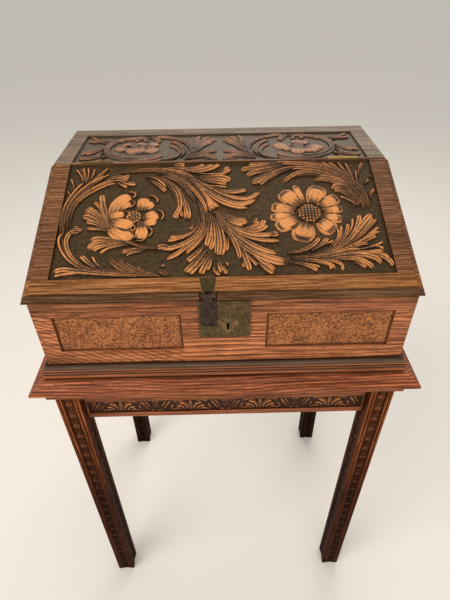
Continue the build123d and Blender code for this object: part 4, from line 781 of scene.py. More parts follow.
def node(tree, kind, inputs=(), stops=(), **settings):
    """Adds one node with its settings, its links and a ramp's stops. Gives the node.

    inputs go by name or place, or in order; Map Range's order is the value, then the range
    it comes from and the range it goes to. A node among them is linked by its first output
    in use.
    """
    made = tree.nodes.new("ShaderNode" + kind)
    for name, value in settings.items():
        setattr(made, name, value)
    if not isinstance(inputs, dict):
        inputs = dict(enumerate(inputs))
    for socket, value in inputs.items():
        if isinstance(value, bpy.types.Node):
            value = next(output for output in value.outputs if output.enabled)
        if isinstance(value, bpy.types.NodeSocket):
            tree.links.new(value, made.inputs[socket])
        else:
            made.inputs[socket].default_value = value
    if stops:
        elements = made.color_ramp.elements
        while len(elements) < len(stops):
            elements.new(1.0)
        for element, (place, shade) in zip(elements, stops):
            element.position = place
            element.color = shade
    return made


def new_material(name):
    """An empty material and its tree."""
    made = bpy.data.materials.new(name)
    made.use_nodes = True
    tree = made.node_tree
    tree.nodes.clear()
    return made, tree


def darker(shade, share):
    return (*[c * share for c in shade[:3]], 1.0)


def blend(a, b, share):
    return (*[x + (y - x) * share for x, y in zip(a[:3], b[:3])], 1.0)


def ratio(shade, base):
    return (*[a / b for a, b in zip(shade[:3], base[:3])], 1.0)


def streaks(tree, coords, along, across, lengthwise, offset=0.0, detail=1.0, roughness=0.5):
    """Noise drawn out along one axis, with its scales across and along it."""
    scale = [lengthwise if axis == along else across for axis in "XYZ"]
    drawn = node(tree, "Mapping", {"Vector": coords, "Location": (offset,) * 3, "Scale": scale})
    return node(tree, "TexNoise", {"Vector": drawn, "Scale": 1.0, "Detail": detail,
                                   "Roughness": roughness})


def rubbed_corner(tree, radius):
    """How far a rounding of this radius would turn the surface, which is where it is rubbed."""
    rounded = node(tree, "Bevel", {"Radius": radius}, samples=4)
    same = node(tree, "VectorMath", (rounded, node(tree, "NewGeometry").outputs["Normal"]),
                operation="DOT_PRODUCT")
    return node(tree, "Math", (1.0, same), operation="SUBTRACT")


def painted_shade_towards_floor(tree, coords, now, foot):
    """Paints shade on a leg, darker down its length, to the tone foot."""
    height = node(tree, "SeparateXYZ", {0: coords}).outputs["Z"]
    lower = node(tree, "MapRange", (height, LEG_DARKENS, LEG_DARKEST))
    return node(tree, "Mix", {0: lower, 6: now, 7: foot}, **TINT)


def reeded(tree, coords, now, middles):
    """Painted shade in the grooves between a leg's reeds and on its faces towards the middle of
    the stand.

    middles is how far the leg stands from the stand's middle, each way.
    """
    parts = node(tree, "SeparateXYZ", {0: coords}).outputs
    ways = []
    for axis, middle in zip("XY", middles):
        way = node(tree, "Math", {0: parts[axis]}, operation="ABSOLUTE")
        way = node(tree, "Math", (way, middle), operation="SUBTRACT")
        ways.append(node(tree, "Math", {0: way}, operation="ABSOLUTE"))
    within = node(tree, "Math", ways, operation="MINIMUM")
    share = node(tree, "Math", (within, 1 / (REED_REACH * MM)), operation="MULTIPLY")
    # painted shade in the grooves between the reeds
    lines = node(tree, "ValToRGB", {0: share}, [
        (place / REED_REACH, (level, level * 0.97, level * 0.93, 1.0))
        for place, level in REED_TONES])
    now = node(tree, "Mix", {0: 1.0, 6: now, 7: lines}, **TINT)
    # painted shade on the faces that look towards the middle of the stand
    level = node(tree, "VectorMath", (coords, (1.0, 1.0, 0.0)), operation="MULTIPLY")
    outwards = node(tree, "VectorMath", (node(tree, "NewGeometry").outputs["Normal"], level),
                    operation="DOT_PRODUCT")
    inner = node(tree, "MapRange", (outwards, 0.02, -0.02))
    return node(tree, "Mix", {0: inner, 6: now, 7: INNER_LEG_PAINTED_SHADE}, **TINT)


def punched(tree, coords, along, fibre, base, now, height, recess):
    """A sunk ground within a board's borders, punched all over.

    Gives the eye dots about 2 mm apart, dark between, with flecks in swarms where the punch
    has rubbed through the wax, and paler wood where a form of the carving stands over it.
    Gives back the board's colour and height with the ground in them.
    """
    away = node(tree, "VectorMath", (coords, recess["middle"]), operation="SUBTRACT")
    level, uphill, sideways = [
        node(tree, "VectorMath", (away, way), operation="DOT_PRODUCT")
        for way in (recess["out"], recess["up"], recess["up"].cross(recess["out"]))]
    deep = recess["depth"]
    inside = [node(tree, "Math", part, operation="COMPARE") for part in (
        (level, -0.5 * deep - 0.7 * MM, 0.5 * deep + 0.3 * MM),
        (uphill, 0.0, recess["half_height"]),
        (sideways, 0.0, recess["half_width"]))]
    mask = node(tree, "Math", inside[:2], operation="MULTIPLY")
    mask = node(tree, "Math", (mask, inside[2]), operation="MULTIPLY")
    # the board's colour changes below each of these lines by its tone; on the lid's nose that
    # tone is painted shade
    for low, above, below, tone in recess.get("lines", ()):
        beyond = node(tree, "MapRange", (uphill, low + above, low - below))
        now = node(tree, "Mix", {0: beyond, 6: now, 7: tone}, **TINT)
    ground = recess["colour"]
    dots = node(tree, "TexVoronoi", {"Vector": coords, "Scale": 420.0})
    cloud = streaks(tree, coords, along, 150, 60, offset=2.0, detail=3.0)
    dotted = node(tree, "Math", (cloud, 0.9, dots), operation="MULTIPLY_ADD")
    shaded = node(tree, "ValToRGB", {0: dotted}, [
        (0.45, darker(ground, 0.50)), (0.85, darker(ground, 0.95)), (1.0, darker(ground, 1.7))])
    swarm = node(tree, "TexNoise", {"Vector": coords, "Scale": 16.0, "Detail": 1.0})
    swarm = node(tree, "MapRange", (swarm, 0.48, 0.62, 0.0, 0.55))
    fleck = node(tree, "TexNoise", {"Vector": coords, "Scale": 330.0, "Detail": 0.0})
    fleck = node(tree, "MapRange", (fleck, 0.54, 0.64))
    fleck = node(tree, "Math", (fleck, swarm), operation="MULTIPLY")
    shaded = node(tree, "Mix", {0: fleck, 6: shaded, 7: blend(ground, base, 0.75)}, **COVER)
    stands = node(tree, "MapRange", (level, -deep + 0.6 * MM, -deep + 2.4 * MM))
    carved = node(tree, "ValToRGB", {0: fibre}, [
        (0.3, darker(ground, 0.8)), (0.5, blend(ground, base, 0.35)),
        (0.7, blend(ground, base, 0.8))])
    under = node(tree, "Mix", {0: stands, 6: shaded, 7: carved}, **COVER)
    now = node(tree, "Mix", {0: mask, 6: now, 7: under}, **COVER)
    pits = node(tree, "Math", (dots, mask), operation="MULTIPLY")
    return now, node(tree, "Math", (pits, height), operation="ADD")


def figured(tree, coords, along, fibre, pore_mask, base, figure, bold, grain, flame):
    """The colour of a board: its fibres, its wandering growth rings and its pores."""
    # rings every 8 mm, patches as wide as a hand
    broad = streaks(tree, coords, along, 9, 3, offset=7.0, detail=2.0, roughness=0.4)
    patchy = streaks(tree, coords, along, 16, 6, offset=11.0)
    rings_per_metre = [0.0 if axis == along else 125.0 for axis in "XYZ"]
    depth_in = node(tree, "VectorMath", (coords, rings_per_metre), operation="DOT_PRODUCT")
    wander = node(tree, "Math", (broad, 13.0 * figure, depth_in), operation="MULTIPLY_ADD")
    parts = node(tree, "SeparateXYZ", {0: coords}).outputs if flame else None
    if flame:
        # 12 more rings in 220 mm at the left end
        left = node(tree, "MapRange", (parts["X"], -0.28, -0.06, 0.0, 12.0))
        low = node(tree, "MapRange", (parts["Z"], 0.870, 0.845), interpolation_type="SMOOTHSTEP")
        wander = node(tree, "Math", (left, low, wander), operation="MULTIPLY_ADD")
    ring = node(tree, "Math", (fibre, 0.55, wander), operation="MULTIPLY_ADD")
    ring = node(tree, "Math", {0: ring}, operation="FRACT")
    late = 1 - bold
    ring_tone = node(tree, "ValToRGB", {0: ring}, [
        (place, (level, level, level, 1)) for place, level in (
            (0.0, 1.12), (0.45, 1.0), (0.80, late), (0.92, late), (1.0, 1.05))])
    tone = node(tree, "ValToRGB", {0: fibre}, [
        (0.36, darker(base, 0.42 ** grain)), (0.49, darker(base, 0.92)),
        (0.60, blend(darker(base, 1.38 ** grain), DRY_FIBRE, 0.14))])
    now = node(tree, "Mix", {0: 0.85, 6: tone, 7: ring_tone}, **TINT)
    patch_tone = node(tree, "MapRange", (patchy, 0.3, 0.7, 0.74, 1.24))
    now = node(tree, "Mix", {0: 1.0, 6: now, 7: patch_tone}, **TINT)
    now = node(tree, "Mix", {0: pore_mask, 6: now, 7: darker(base, 0.22)}, **COVER)
    if flame:
        # rubbed paler and more golden towards the foot of the board
        low = node(tree, "MapRange", (parts["Z"], 0.87, 0.78))
        now = node(tree, "Mix", {0: low, 6: now, 7: BOARD_FOOT_TONE}, **TINT)
    return now


def banded(tree, coords, fibre, bands):
    """A moulding's colour: (height, colour) steps up it, with its fibres in them."""
    lowest, highest = bands[0][0], bands[-1][0]
    height = node(tree, "SeparateXYZ", {0: coords}).outputs["Z"]
    up_it = node(tree, "MapRange", (height, lowest, highest))
    worn = node(tree, "ValToRGB", {0: up_it}, [
        ((z - lowest) / (highest - lowest), shade) for z, shade in bands])
    grey = node(tree, "MapRange", (fibre, 0.3, 0.7, 0.45, 1.5))
    return node(tree, "Mix", {0: 1.0, 6: worn, 7: grey}, **TINT)


def aged_oak(name, shade, along="X", figure=0.7, bold=0.5, wear=0.5, corner_shade=0.75, recess=None,
             rough=0.5, sheen=0.22, grain=1.0, flame=False, foot=None, bands=None, reeds=None):
    """Oak, riven or sawn, planed, stained and waxed for generations.

    Gives the eye long fibres with open dark pores, growth rings that wander down the board,
    rubbed golden edges and painted shade in its corners. figure is how far the rings wander,
    bold how dark they are, grain the contrast of the fibres, sheen how much the wax shines.
    recess is a sunk ground on the board, and flame slants the rings at its left end and rubs
    its foot. bands are the (height, colour) steps of a moulding that is worn in bands. foot
    is the tone of the painted shade on a leg near the floor, and reeds its place, for the
    painted shade in its grooves and on its inner faces.
    """
    made, tree = new_material(name)
    coords = node(tree, "TexCoord").outputs["Object"]
    base = (*shade[:3], 1.0)
    # fibres about 2.4 mm wide and 80 mm long, drawn twice their real width so that they
    # show, and pores 1.2 mm by 12 mm
    fibre = streaks(tree, coords, along, 420, 12, detail=3.0, roughness=0.7)
    pores = streaks(tree, coords, along, 850, 80, offset=3.0)
    pore_mask = node(tree, "MapRange", (pores, 0.58, 0.68, 0.0, 0.6))
    if bands:
        now = banded(tree, coords, fibre, bands)
    else:
        now = figured(tree, coords, along, fibre, pore_mask, base, figure, bold, grain, flame)
    if reeds:
        now = reeded(tree, coords, now, reeds)
    if foot:
        now = painted_shade_towards_floor(tree, coords, now, foot)
    height = node(tree, "Math", (fibre, 0.5), operation="MULTIPLY")
    height = node(tree, "Math", (height, pore_mask), operation="SUBTRACT")
    if recess:
        now, height = punched(tree, coords, along, fibre, base, now, height, recess)
    patch = node(tree, "TexNoise", {"Vector": coords, "Scale": 60.0, "Detail": 2.0})
    rub = node(tree, "Math", (rubbed_corner(tree, 1.6 * MM), patch), operation="MULTIPLY")
    rub = node(tree, "MapRange", (rub, 0.01, 0.12, 0.0, wear))
    shut_in = node(tree, "AmbientOcclusion", {"Distance": 5 * MM}, samples=8).outputs["AO"]
    rub = node(tree, "Math", (rub, shut_in), operation="MULTIPLY")
    golden = blend(darker(base, 1.7), RUBBED_OAK, 0.4)
    now = node(tree, "Mix", {0: rub, 6: now, 7: golden}, **COVER)
    # painted shade in the corners, as dark as each point is shut in
    painted_corner_shade = node(tree, "MapRange", (shut_in, 0.35, 0.93, corner_shade, 0.0))
    now = node(tree, "Mix", {0: painted_corner_shade, 6: now, 7: darker(base, 0.12)}, **COVER)
    shader = node(tree, "BsdfPrincipled", {
        "Base Color": now, "Specular IOR Level": sheen,
        "Roughness": node(tree, "MapRange", (fibre, 0.3, 0.7, rough + 0.12, rough - 0.06)),
        "Normal": node(tree, "Bump", {"Height": height, "Strength": 0.55,
                                      "Distance": 0.6 * MM})})
    node(tree, "OutputMaterial", {"Surface": shader})
    return made


def carved_relief(name, crest, groove, along="X", boss=None, foot=None, sheen=0.2):
    """Carved oak, cut with gouges and handled ever since.

    Gives the eye crests rubbed to a bright honey tone and speckled by the open pores, over
    grooves dark with old wax. The brightness that picks these colours also holds painted
    highlight on the crests and painted shade in the grooves and wherever the carving is shut
    in. boss is the tone of the highest knobs, where it isn't the crests', foot the tone of
    the painted shade on a leg near the floor, and sheen how much the wax shines.
    """
    made, tree = new_material(name)
    coords = node(tree, "TexCoord").outputs["Object"]
    fibre = streaks(tree, coords, along, 420, 30, detail=3.0)
    broad = node(tree, "TexNoise", {"Vector": coords, "Scale": 28.0, "Detail": 2.0})
    # cut pores, drawn 2 mm apart so that they show
    cut = node(tree, "TexNoise", {"Vector": coords, "Scale": 480.0, "Detail": 1.0})
    shut_in = node(tree, "AmbientOcclusion", {"Distance": 8 * MM}, samples=6).outputs["AO"]
    bright = node(tree, "Attribute", attribute_name="relief").outputs["Fac"]
    # mottled wear, cut pores, and painted shade where the carving is shut in
    for change in ((broad, 0.3, 0.7, -0.14, 0.12), (cut, 0.34, 0.62, -0.20, 0.08),
                   (shut_in, 0.3, 0.85, -0.5, 0.0)):
        bright = node(tree, "Math", (bright, node(tree, "MapRange", change)), operation="ADD")
    bright.use_clamp = True
    now = node(tree, "ValToRGB", {0: bright}, [
        (0.06, (*groove[:3], 1.0)), (0.32, blend(groove, crest, 0.24)),
        (0.55, blend(groove, crest, 0.66)), (0.80, darker(crest, 1.05)),
        (1.0, boss or darker(crest, 1.2))])
    if foot:
        now = painted_shade_towards_floor(tree, coords, now, foot)
    grains = node(tree, "Math", (fibre, cut), operation="ADD")
    shader = node(tree, "BsdfPrincipled", {
        "Base Color": now, "Roughness": 0.5, "Specular IOR Level": sheen,
        "Normal": node(tree, "Bump", {"Height": grains, "Strength": 0.35,
                                      "Distance": 0.5 * MM})})
    node(tree, "OutputMaterial", {"Surface": shader})
    return made


def old_metal(name, shade, rough, patina, wear=0.6, brushed=False, corner_shade_reach=2.5):
    """Cast or rolled metal with an old patina.

    Gives the eye a mottled dark skin, fine scratches, bright rubbed edges and painted shade
    in its corners. The last argument is how far that painted shade reaches from a corner, in
    millimetres.
    """
    made, tree = new_material(name)
    coords = node(tree, "TexCoord").outputs["Object"]
    base = (*shade[:3], 1.0)
    cloud = node(tree, "TexNoise", {"Vector": coords, "Scale": 140.0, "Detail": 5.0,
                                    "Roughness": 0.65})
    fine = streaks(tree, coords, "Z", *((300, 3000) if brushed else (900, 900)), detail=2.0)
    now = node(tree, "ValToRGB", {0: cloud}, [
        (0.32, darker(base, 0.45)), (0.52, darker(base, 0.9)), (0.72, darker(base, 1.3))])
    shut_in = node(tree, "AmbientOcclusion", {"Distance": corner_shade_reach * MM}, samples=8).outputs["AO"]
    # stains, rubbed edges and painted shade in the corners
    for change, tone in (((fine, 0.45, 0.65, 0.0, patina), 0.3),
                         ((rubbed_corner(tree, 0.8 * MM), 0.01, 0.15, 0.0, wear), 2.2),
                         ((shut_in, 0.45, 0.95, 0.8, 0.0), 0.08)):
        now = node(tree, "Mix", {0: node(tree, "MapRange", change), 6: now,
                                 7: darker(base, tone)}, **COVER)
    shader = node(tree, "BsdfPrincipled", {
        "Base Color": now, "Metallic": 1.0,
        "Roughness": node(tree, "MapRange", (cloud, 0.3, 0.7, rough + 0.15, rough - 0.08)),
        "Normal": node(tree, "Bump", {"Height": cloud, "Strength": 0.25,
                                      "Distance": 0.4 * MM})})
    node(tree, "OutputMaterial", {"Surface": shader})
    return made


def dress(finish, *names):
    """Gives CAD nodes a finish through their own material slots."""
    for name in names:
        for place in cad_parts[name].material_slots:
            place.material = finish


# ------------------------------------------------------------------ beds that carry the carving
def bed(origin, across, up):
    """A drawing board in millimetres: X across, Y up and Z out of the surface."""
    across, up = Vector(across).normalized(), Vector(up).normalized()
    out = across.cross(up)
    turn = Matrix((across, up, out)).transposed().to_4x4()
    return Matrix.Translation(origin) @ turn @ Matrix.Scale(MM, 4)


def lid_bed(sizes):
    """The lid's frame: from the middle of its lower edge, up the slope."""
    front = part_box("box_front")[0].y + sizes.frame_setin
    back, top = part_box("box_top")[1].yz
    knee = back - sizes.fixed_top
    drop = (knee - front) * math.tan(sizes.slope)
    return bed((0, front, top - drop), (1, 0, 0), (0, math.cos(sizes.slope),
                                                   math.sin(sizes.slope)))


RAILS = (("front", (1, 0, 0)), ("right", (0, 1, 0)), ("back", (-1, 0, 0)),
         ("left", (0, -1, 0)))


def rail_face(name, across):
    """The middle of a rail's lower edge on its outer face, half its shown run, and outwards."""
    low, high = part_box("apron_" + name)
    out = Vector(across).cross(Vector((0, 0, 1)))
    middle = (low + high) / 2
    face = Vector([high[i] if out[i] > 0.5 else low[i] if out[i] < -0.5 else middle[i]
                   for i in range(3)])
    face.z = low.z
    run = (high - low).dot(Vector([abs(c) for c in across]))
    return face, run / 2 - TENON * MM, out


class BIBLEBOX_OT_timber(bpy.types.Operator):
    """Finish the box, lid and stand as old waxed oak"""

    bl_idname = "bible_box.timber"
    bl_label = "Timber Finishes"

    def execute(self, context):
        sizes, shades = context.scene.bible_box_sizes, context.scene.bible_box_colours
        self.boards(sizes, shades)
        self.mouldings(shades)
        self.stand(sizes, shades)
        return {"FINISHED"}

    def boards(self, sizes, shades):
        """The lid and the fixed top with their sunk grounds, and the rest of the box."""
        slope = lid_bed(sizes)
        _, up, out = [column.normalized() for column in slope.to_3x3().transposed()]
        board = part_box("box_top")[1]
        knee = board.y - sizes.fixed_top
        low, high = sizes.lid_border, (knee - slope.translation.y) / math.cos(sizes.slope)
        half_height = (high - low) / 2 - 0.2 * MM
        lid_ground = {
            "middle": slope.translation + up * (low + high) / 2, "out": out, "up": up,
            "depth": sizes.ground_depth, "half_height": half_height,
            "half_width": sizes.carved_width / 2 + 0.5 * MM, "colour": shades.ground,
            "lines": (
                (-half_height, 0.5 * MM, 1.5 * MM, ratio(shades.front_rail, shades.lid_oak)),
                (-(low + high) / 2, 0.4 * MM, 0.8 * MM, LID_NOSE_PAINTED_SHADE)),
        }
        top_middle = knee + sizes.top_border + sizes.top_carved / 2
        # the fixed top's ground, in a colour that holds painted sheen
        top_ground_and_sheen = dict(
            lid_ground, colour=shades.top_ground_and_sheen, middle=Vector((0, top_middle, board.z)),
            out=Vector((0, 0, 1)), up=Vector((0, 1, 0)), lines=(),
            half_height=sizes.top_carved / 2 + 0.5 * MM)
        dress(aged_oak("oak_lid_waxed", shades.lid_oak, bold=0.3, sheen=0.12,
                       recess=lid_ground), "lid_board")
        dress(aged_oak("oak_top_waxed", shades.top_oak_and_sheen, bold=0.3, recess=top_ground_and_sheen), "box_top")
        dress(aged_oak("oak_box_waxed", shades.box_oak, figure=0.45, bold=0.62, grain=1.3,
                       flame=True), "box_front")
        dress(aged_oak("oak_back_waxed", darker(shades.box_oak, 0.8), figure=0.8, bold=0.4),
              "box_back")
        dress(aged_oak("oak_box_side_waxed", shades.box_oak, "Y", figure=1.3), "box_side_left",
              "box_side_right")
        dress(aged_oak("oak_bare", shades.plain_oak, wear=0.1, rough=0.62), "box_bottom",
              "corner_blocks")

    def mouldings(self, shades):
        """The plinth moulding, worn in bands, and the plain one under the stand's top."""
        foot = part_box("plinth_mould_front")[0].z
        dark, half_dust = darker(shades.dust, 0.12), darker(shades.dust, 0.5)
        oak = shades.plinth_oak
        # dark joint, rubbed lower bead, quirk painted dark as shade, upper bead, quirk painted
        # dark as shade, bright fillet, dusty hollow
        bands = [(foot + rise * MM, (*shade[:3], 1.0)) for rise, shade in (
            (0.0, dark), (2.2, dark), (3.6, oak), (8.6, oak), (9.9, half_dust), (11.0, dark),
            (12.2, half_dust), (14.6, oak), (16.0, dark), (17.0, dark),
            (17.4, darker(oak, 1.3)), (18.4, darker(oak, 1.1)), (19.4, half_dust),
            (20.5, shades.dust), (23.2, shades.dust), (24.6, half_dust), (26.6, dark))]
        for along, ends in (("X", ("front", "back")), ("Y", ("left", "right"))):
            dress(aged_oak("oak_plinth_" + along.lower(), oak, along, wear=0.3, bands=bands),
                  *["plinth_mould_" + end for end in ends])
            dress(aged_oak("oak_bed_mould_" + along.lower(), shades.rail_oak, along, bold=0.4,
                           grain=1.3), *["bed_mould_" + end for end in ends])

    def stand(self, sizes, shades):
        """The stand's top, its rails with their sunk friezes, and its legs."""
        dress(aged_oak("oak_stand_waxed", shades.stand_oak, grain=1.5, bold=0.62, wear=0.7),
              "stand_top")
        for name, across in RAILS:
            face, half_run, out = rail_face(name, across)
            face.z += sizes.frieze_rise + sizes.frieze_height / 2
            dress(aged_oak("oak_rail_" + name, shades.rail_oak, "X" if across[0] else "Y",
                           bold=0.4, recess={
                               "middle": face, "out": out, "up": Vector((0, 0, 1)),
                               "depth": sizes.frieze_depth, "half_width": half_run,
                               "half_height": sizes.frieze_height / 2 + 0.4 * MM,
                               "colour": darker(shades.rail_oak, 0.08)}), "apron_" + name)
        middle = sum(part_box("leg_front_right"), Vector()) / 2
        # the back legs take a darker copy of the leg oak: painted shade under the box
        for name, shade in (("front", shades.leg_oak), ("back", darker(shades.leg_oak, 0.45))):
            dress(aged_oak("oak_leg_" + name, shade, "Z", bold=0.3, wear=0.45, corner_shade=0.97,
                           sheen=0.03, grain=1.2, foot=LEG_FOOT_PAINTED_SHADE,
                           reeds=(middle.x, -middle.y)),
                  "leg_" + name + "_left", "leg_" + name + "_right")


class BIBLEBOX_OT_metal(bpy.types.Operator):
    """Finish the lock, hasp, hinges, nails and screws"""

    bl_idname = "bible_box.metal"
    bl_label = "Metal Finishes"

    def execute(self, context):
        shades = context.scene.bible_box_colours
        bronze, brass = shades.bronze, shades.brass
        for name, shade, rough, patina, settings, nodes in (
            # its painted shade in the corners reaches further than it would, so that the
            # escutcheon shows against it
            ("bronze_patinated", darker(bronze, 0.78), 0.42, 0.5, {"corner_shade_reach": 4.0},
             ("lock_plate", "lock_plate_pins", "hasp_staple")),
            ("bronze_smoked", darker(bronze, 0.5), 0.42, 0.5, {},
             ("hasp_plate", "hasp_plate_pins")),
            ("bronze_dark_rubbed", darker(shades.strap, 0.72), 0.42, 0.35, {},
             ("hasp_strap",)),
            ("bronze_worn", darker(bronze, 1.12), 0.36, 0.3, {"wear": 0.9},
             ("lock_escutcheon",)),
            ("brass_rubbed", brass, 0.34, 0.3, {},
             ("hinge_leaf_fixed_right", "hinge_leaf_lid_right", "hinge_pins")),
            ("brass_tarnished", darker(brass, 0.45), 0.42, 0.5, {},
             ("hinge_leaf_fixed_left", "hinge_leaf_lid_left", "hinge_screws_fixed",
              "hinge_screws_lid")),
            ("iron_blacked", shades.iron, 0.5, 0.6, {},
             ("lock_case", "lock_cap", "lock_bolt", "box_nails")),
            ("steel_brushed", shades.steel, 0.38, 0.3, {"brushed": True},
             ("top_screws", "lock_screws", "lock_spring", "lock_key_post", "hasp_pin")),
        ):
            dress(old_metal(name, shade, rough, patina, **settings), *nodes)
        return {"FINISHED"}


class BIBLEBOX_OT_lid_carving(bpy.types.Operator):
    """Carve the sloping lid with scrolling acanthus and two flowers"""

    bl_idname = "bible_box.lid_carving"
    bl_label = "Lid Carving"

    def execute(self, context):
        sizes, shades = context.scene.bible_box_sizes, context.scene.bible_box_colours
        finish = carved_relief("oak_carved_lid", shades.crest, shades.groove)
        ground = ground_of(sizes.ground_depth, sizes.sink, CARVED_RISE)
        place = lid_bed(sizes)

        bm = new_carving()
        carve_all(bm, LID_LEFT_SCROLL + LID_LEFT_LEAF + LID_LEFT_FOOT, ground)
        carve_all(bm, LID_LEFT_TWIN, ground, ridges=2)
        carve_all(bm, LID_LEFT_GOUGES, ground, "gouge")
        flower_left(bm, ground)
        as_piece(bm, "lid_carving_left", place, "lid", finish)

        bm = new_carving()
        carve_all(bm, LID_TRUNK + LID_CENTRE_LEAVES + LID_FAN + LID_RIGHT_LOBES, ground)
        carve_all(bm, LID_TRUNK_GOUGES, ground, "gouge")
        # a row of six beads along the trunk
        for step in range(6):
            bead(bm, -95 + 4.6 * step, 222 - 1.8 * step, 1.5, ground, rise=3.6, shade=0.9)
        as_piece(bm, "lid_carving_middle", place, "lid", finish)

        bm = new_carving()
        carve_all(bm, LID_RIGHT_SCROLL, dict(ground, tone=0.78))
        carve_all(bm, LID_RIGHT_ACANTHUS + LID_RIGHT_FOOT, ground)
        carve_all(bm, LID_RIGHT_TWINS, ground, ridges=2)
        flower_right(bm, ground)
        as_piece(bm, "lid_carving_right", place, "lid", finish)
        return {"FINISHED"}


class BIBLEBOX_OT_top_carving(bpy.types.Operator):
    """Carve the fixed top, one scroll and flower each side"""

    bl_idname = "bible_box.top_carving"
    bl_label = "Top Carving"

    def execute(self, context):
        sizes, shades = context.scene.bible_box_sizes, context.scene.bible_box_colours
        finish = carved_relief("oak_carved_top", shades.top_crest, shades.groove)
        ground = ground_of(sizes.ground_depth, sizes.sink, CARVED_RISE)
        place = bed((0, 0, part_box("box_top")[1].z), (1, 0, 0), (0, 1, 0))
        for name, side, flower in (("left", 1, TOP_LEFT_FLOWER), ("right", -1, TOP_RIGHT_FLOWER)):
            bm = new_carving()
            for width, *points in TOP_SCROLL:
                carve(bm, width, placed(points, side=side), ground)
            carve_all(bm, flower, ground, "petal")
            berries(bm, -side * 142, 108, TOP_BERRIES, 2.8, ground, shade=0.8)
            as_piece(bm, "top_carving_" + name, place, "box", finish)
        return {"FINISHED"}


class BIBLEBOX_OT_frieze(bpy.types.Operator):
    """Carve the running frieze on the four rails"""

    bl_idname = "bible_box.frieze"
    bl_label = "Frieze"

    def execute(self, context):
        sizes, shades = context.scene.bible_box_sizes, context.scene.bible_box_colours
        finish = carved_relief("oak_carved_frieze", blend(shades.rail_oak, shades.crest, 0.5),
                               darker(shades.rail_oak, 0.12))
        ground = ground_of(sizes.frieze_depth, sizes.sink, FRIEZE_RISE)
        for name, across in RAILS:
            face, half_run, _ = rail_face(name, across)
            face.z += sizes.frieze_rise
            bm = new_carving()
            frieze(bm, half_run / MM - FRIEZE_END, ground)
            as_piece(bm, "frieze_carving_" + name, bed(face, across, (0, 0, 1)), "stand",
                     finish)
        return {"FINISHED"}


class BIBLEBOX_OT_leg_carving(bpy.types.Operator):
    """Carve the sunk strips of the four legs"""

    bl_idname = "bible_box.leg_carving"
    bl_label = "Leg Carving"

    def execute(self, context):
        sizes, shades = context.scene.bible_box_sizes, context.scene.bible_box_colours
        finish = carved_relief("oak_carved_leg", shades.leg_crest,
                               darker(shades.leg_oak, 0.25), along="Z",
                               boss=darker(shades.leg_oak, 0.95), foot=STRIP_FOOT_PAINTED_SHADE,
                               sheen=0.04)
        ground = ground_of(sizes.strip_depth, STRIP_SINK * MM, STRIP_RISE)
        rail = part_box("apron_front")[0].z / MM
        for name in ("front_left", "front_right", "back_left", "back_right"):
            low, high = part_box("leg_" + name)
            middle = (low + high) / 2
            bm = new_carving()
            for out in (Vector((1, 0, 0)), Vector((-1, 0, 0)), Vector((0, 1, 0)),
                        Vector((0, -1, 0))):
                inner = out.x * middle.x + out.y * middle.y < 0
                face = middle + out * (high.x - low.x) / 2
                face.z = 0
                before = len(bm.verts)
                leg_strip(bm, STRIP_FOOT, rail if inner else STRIP_HEAD, ground, inner)
                bm.verts.ensure_lookup_table()
                bmesh.ops.transform(bm, matrix=bed(face, Vector((0, 0, 1)).cross(out), (0, 0, 1)),
                                    verts=bm.verts[before:])
            as_piece(bm, "leg_carving_" + name, Matrix.Identity(4), "stand",
                     finish)
        return {"FINISHED"}


class BIBLEBOX_OT_panels(bpy.types.Operator):
    """Tool the sunk panels of the box's front and sides"""

    bl_idname = "bible_box.panels"
    bl_label = "Tooled Panels"

    def execute(self, context):
        sizes, shades = context.scene.bible_box_sizes, context.scene.bible_box_colours
        finish = carved_relief("oak_tooled_panel", blend(shades.box_oak, shades.crest, 0.45),
                               darker(shades.box_oak, 0.30))
        depth = sizes.panel_depth / MM
        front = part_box("box_front")[0]
        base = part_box("box_bottom")[0].z / MM
        low, high = base + sizes.panel_low / MM, base + sizes.panel_high / MM
        inner, outer = sizes.panel_inner / MM, sizes.panel_outer / MM
        bm = new_carving()
        tooled_panel(bm, -outer, -inner, low, high, depth)
        tooled_panel(bm, inner, outer, low, high, depth)
        as_piece(bm, "front_panel_tooling", bed((0, front.y, 0), (1, 0, 0), (0, 0, 1)), "box",
                 finish)
        reach = sizes.side_panel / MM
        for name, side in (("left", -1), ("right", 1)):
            bm = new_carving()
            tooled_panel(bm, -reach, reach, low, high, depth)
            as_piece(bm, "side_panel_tooling_" + name,
                     bed((-side * front.x, 0, 0), (0, side, 0), (0, 0, 1)), "box",
                     finish)
        return {"FINISHED"}


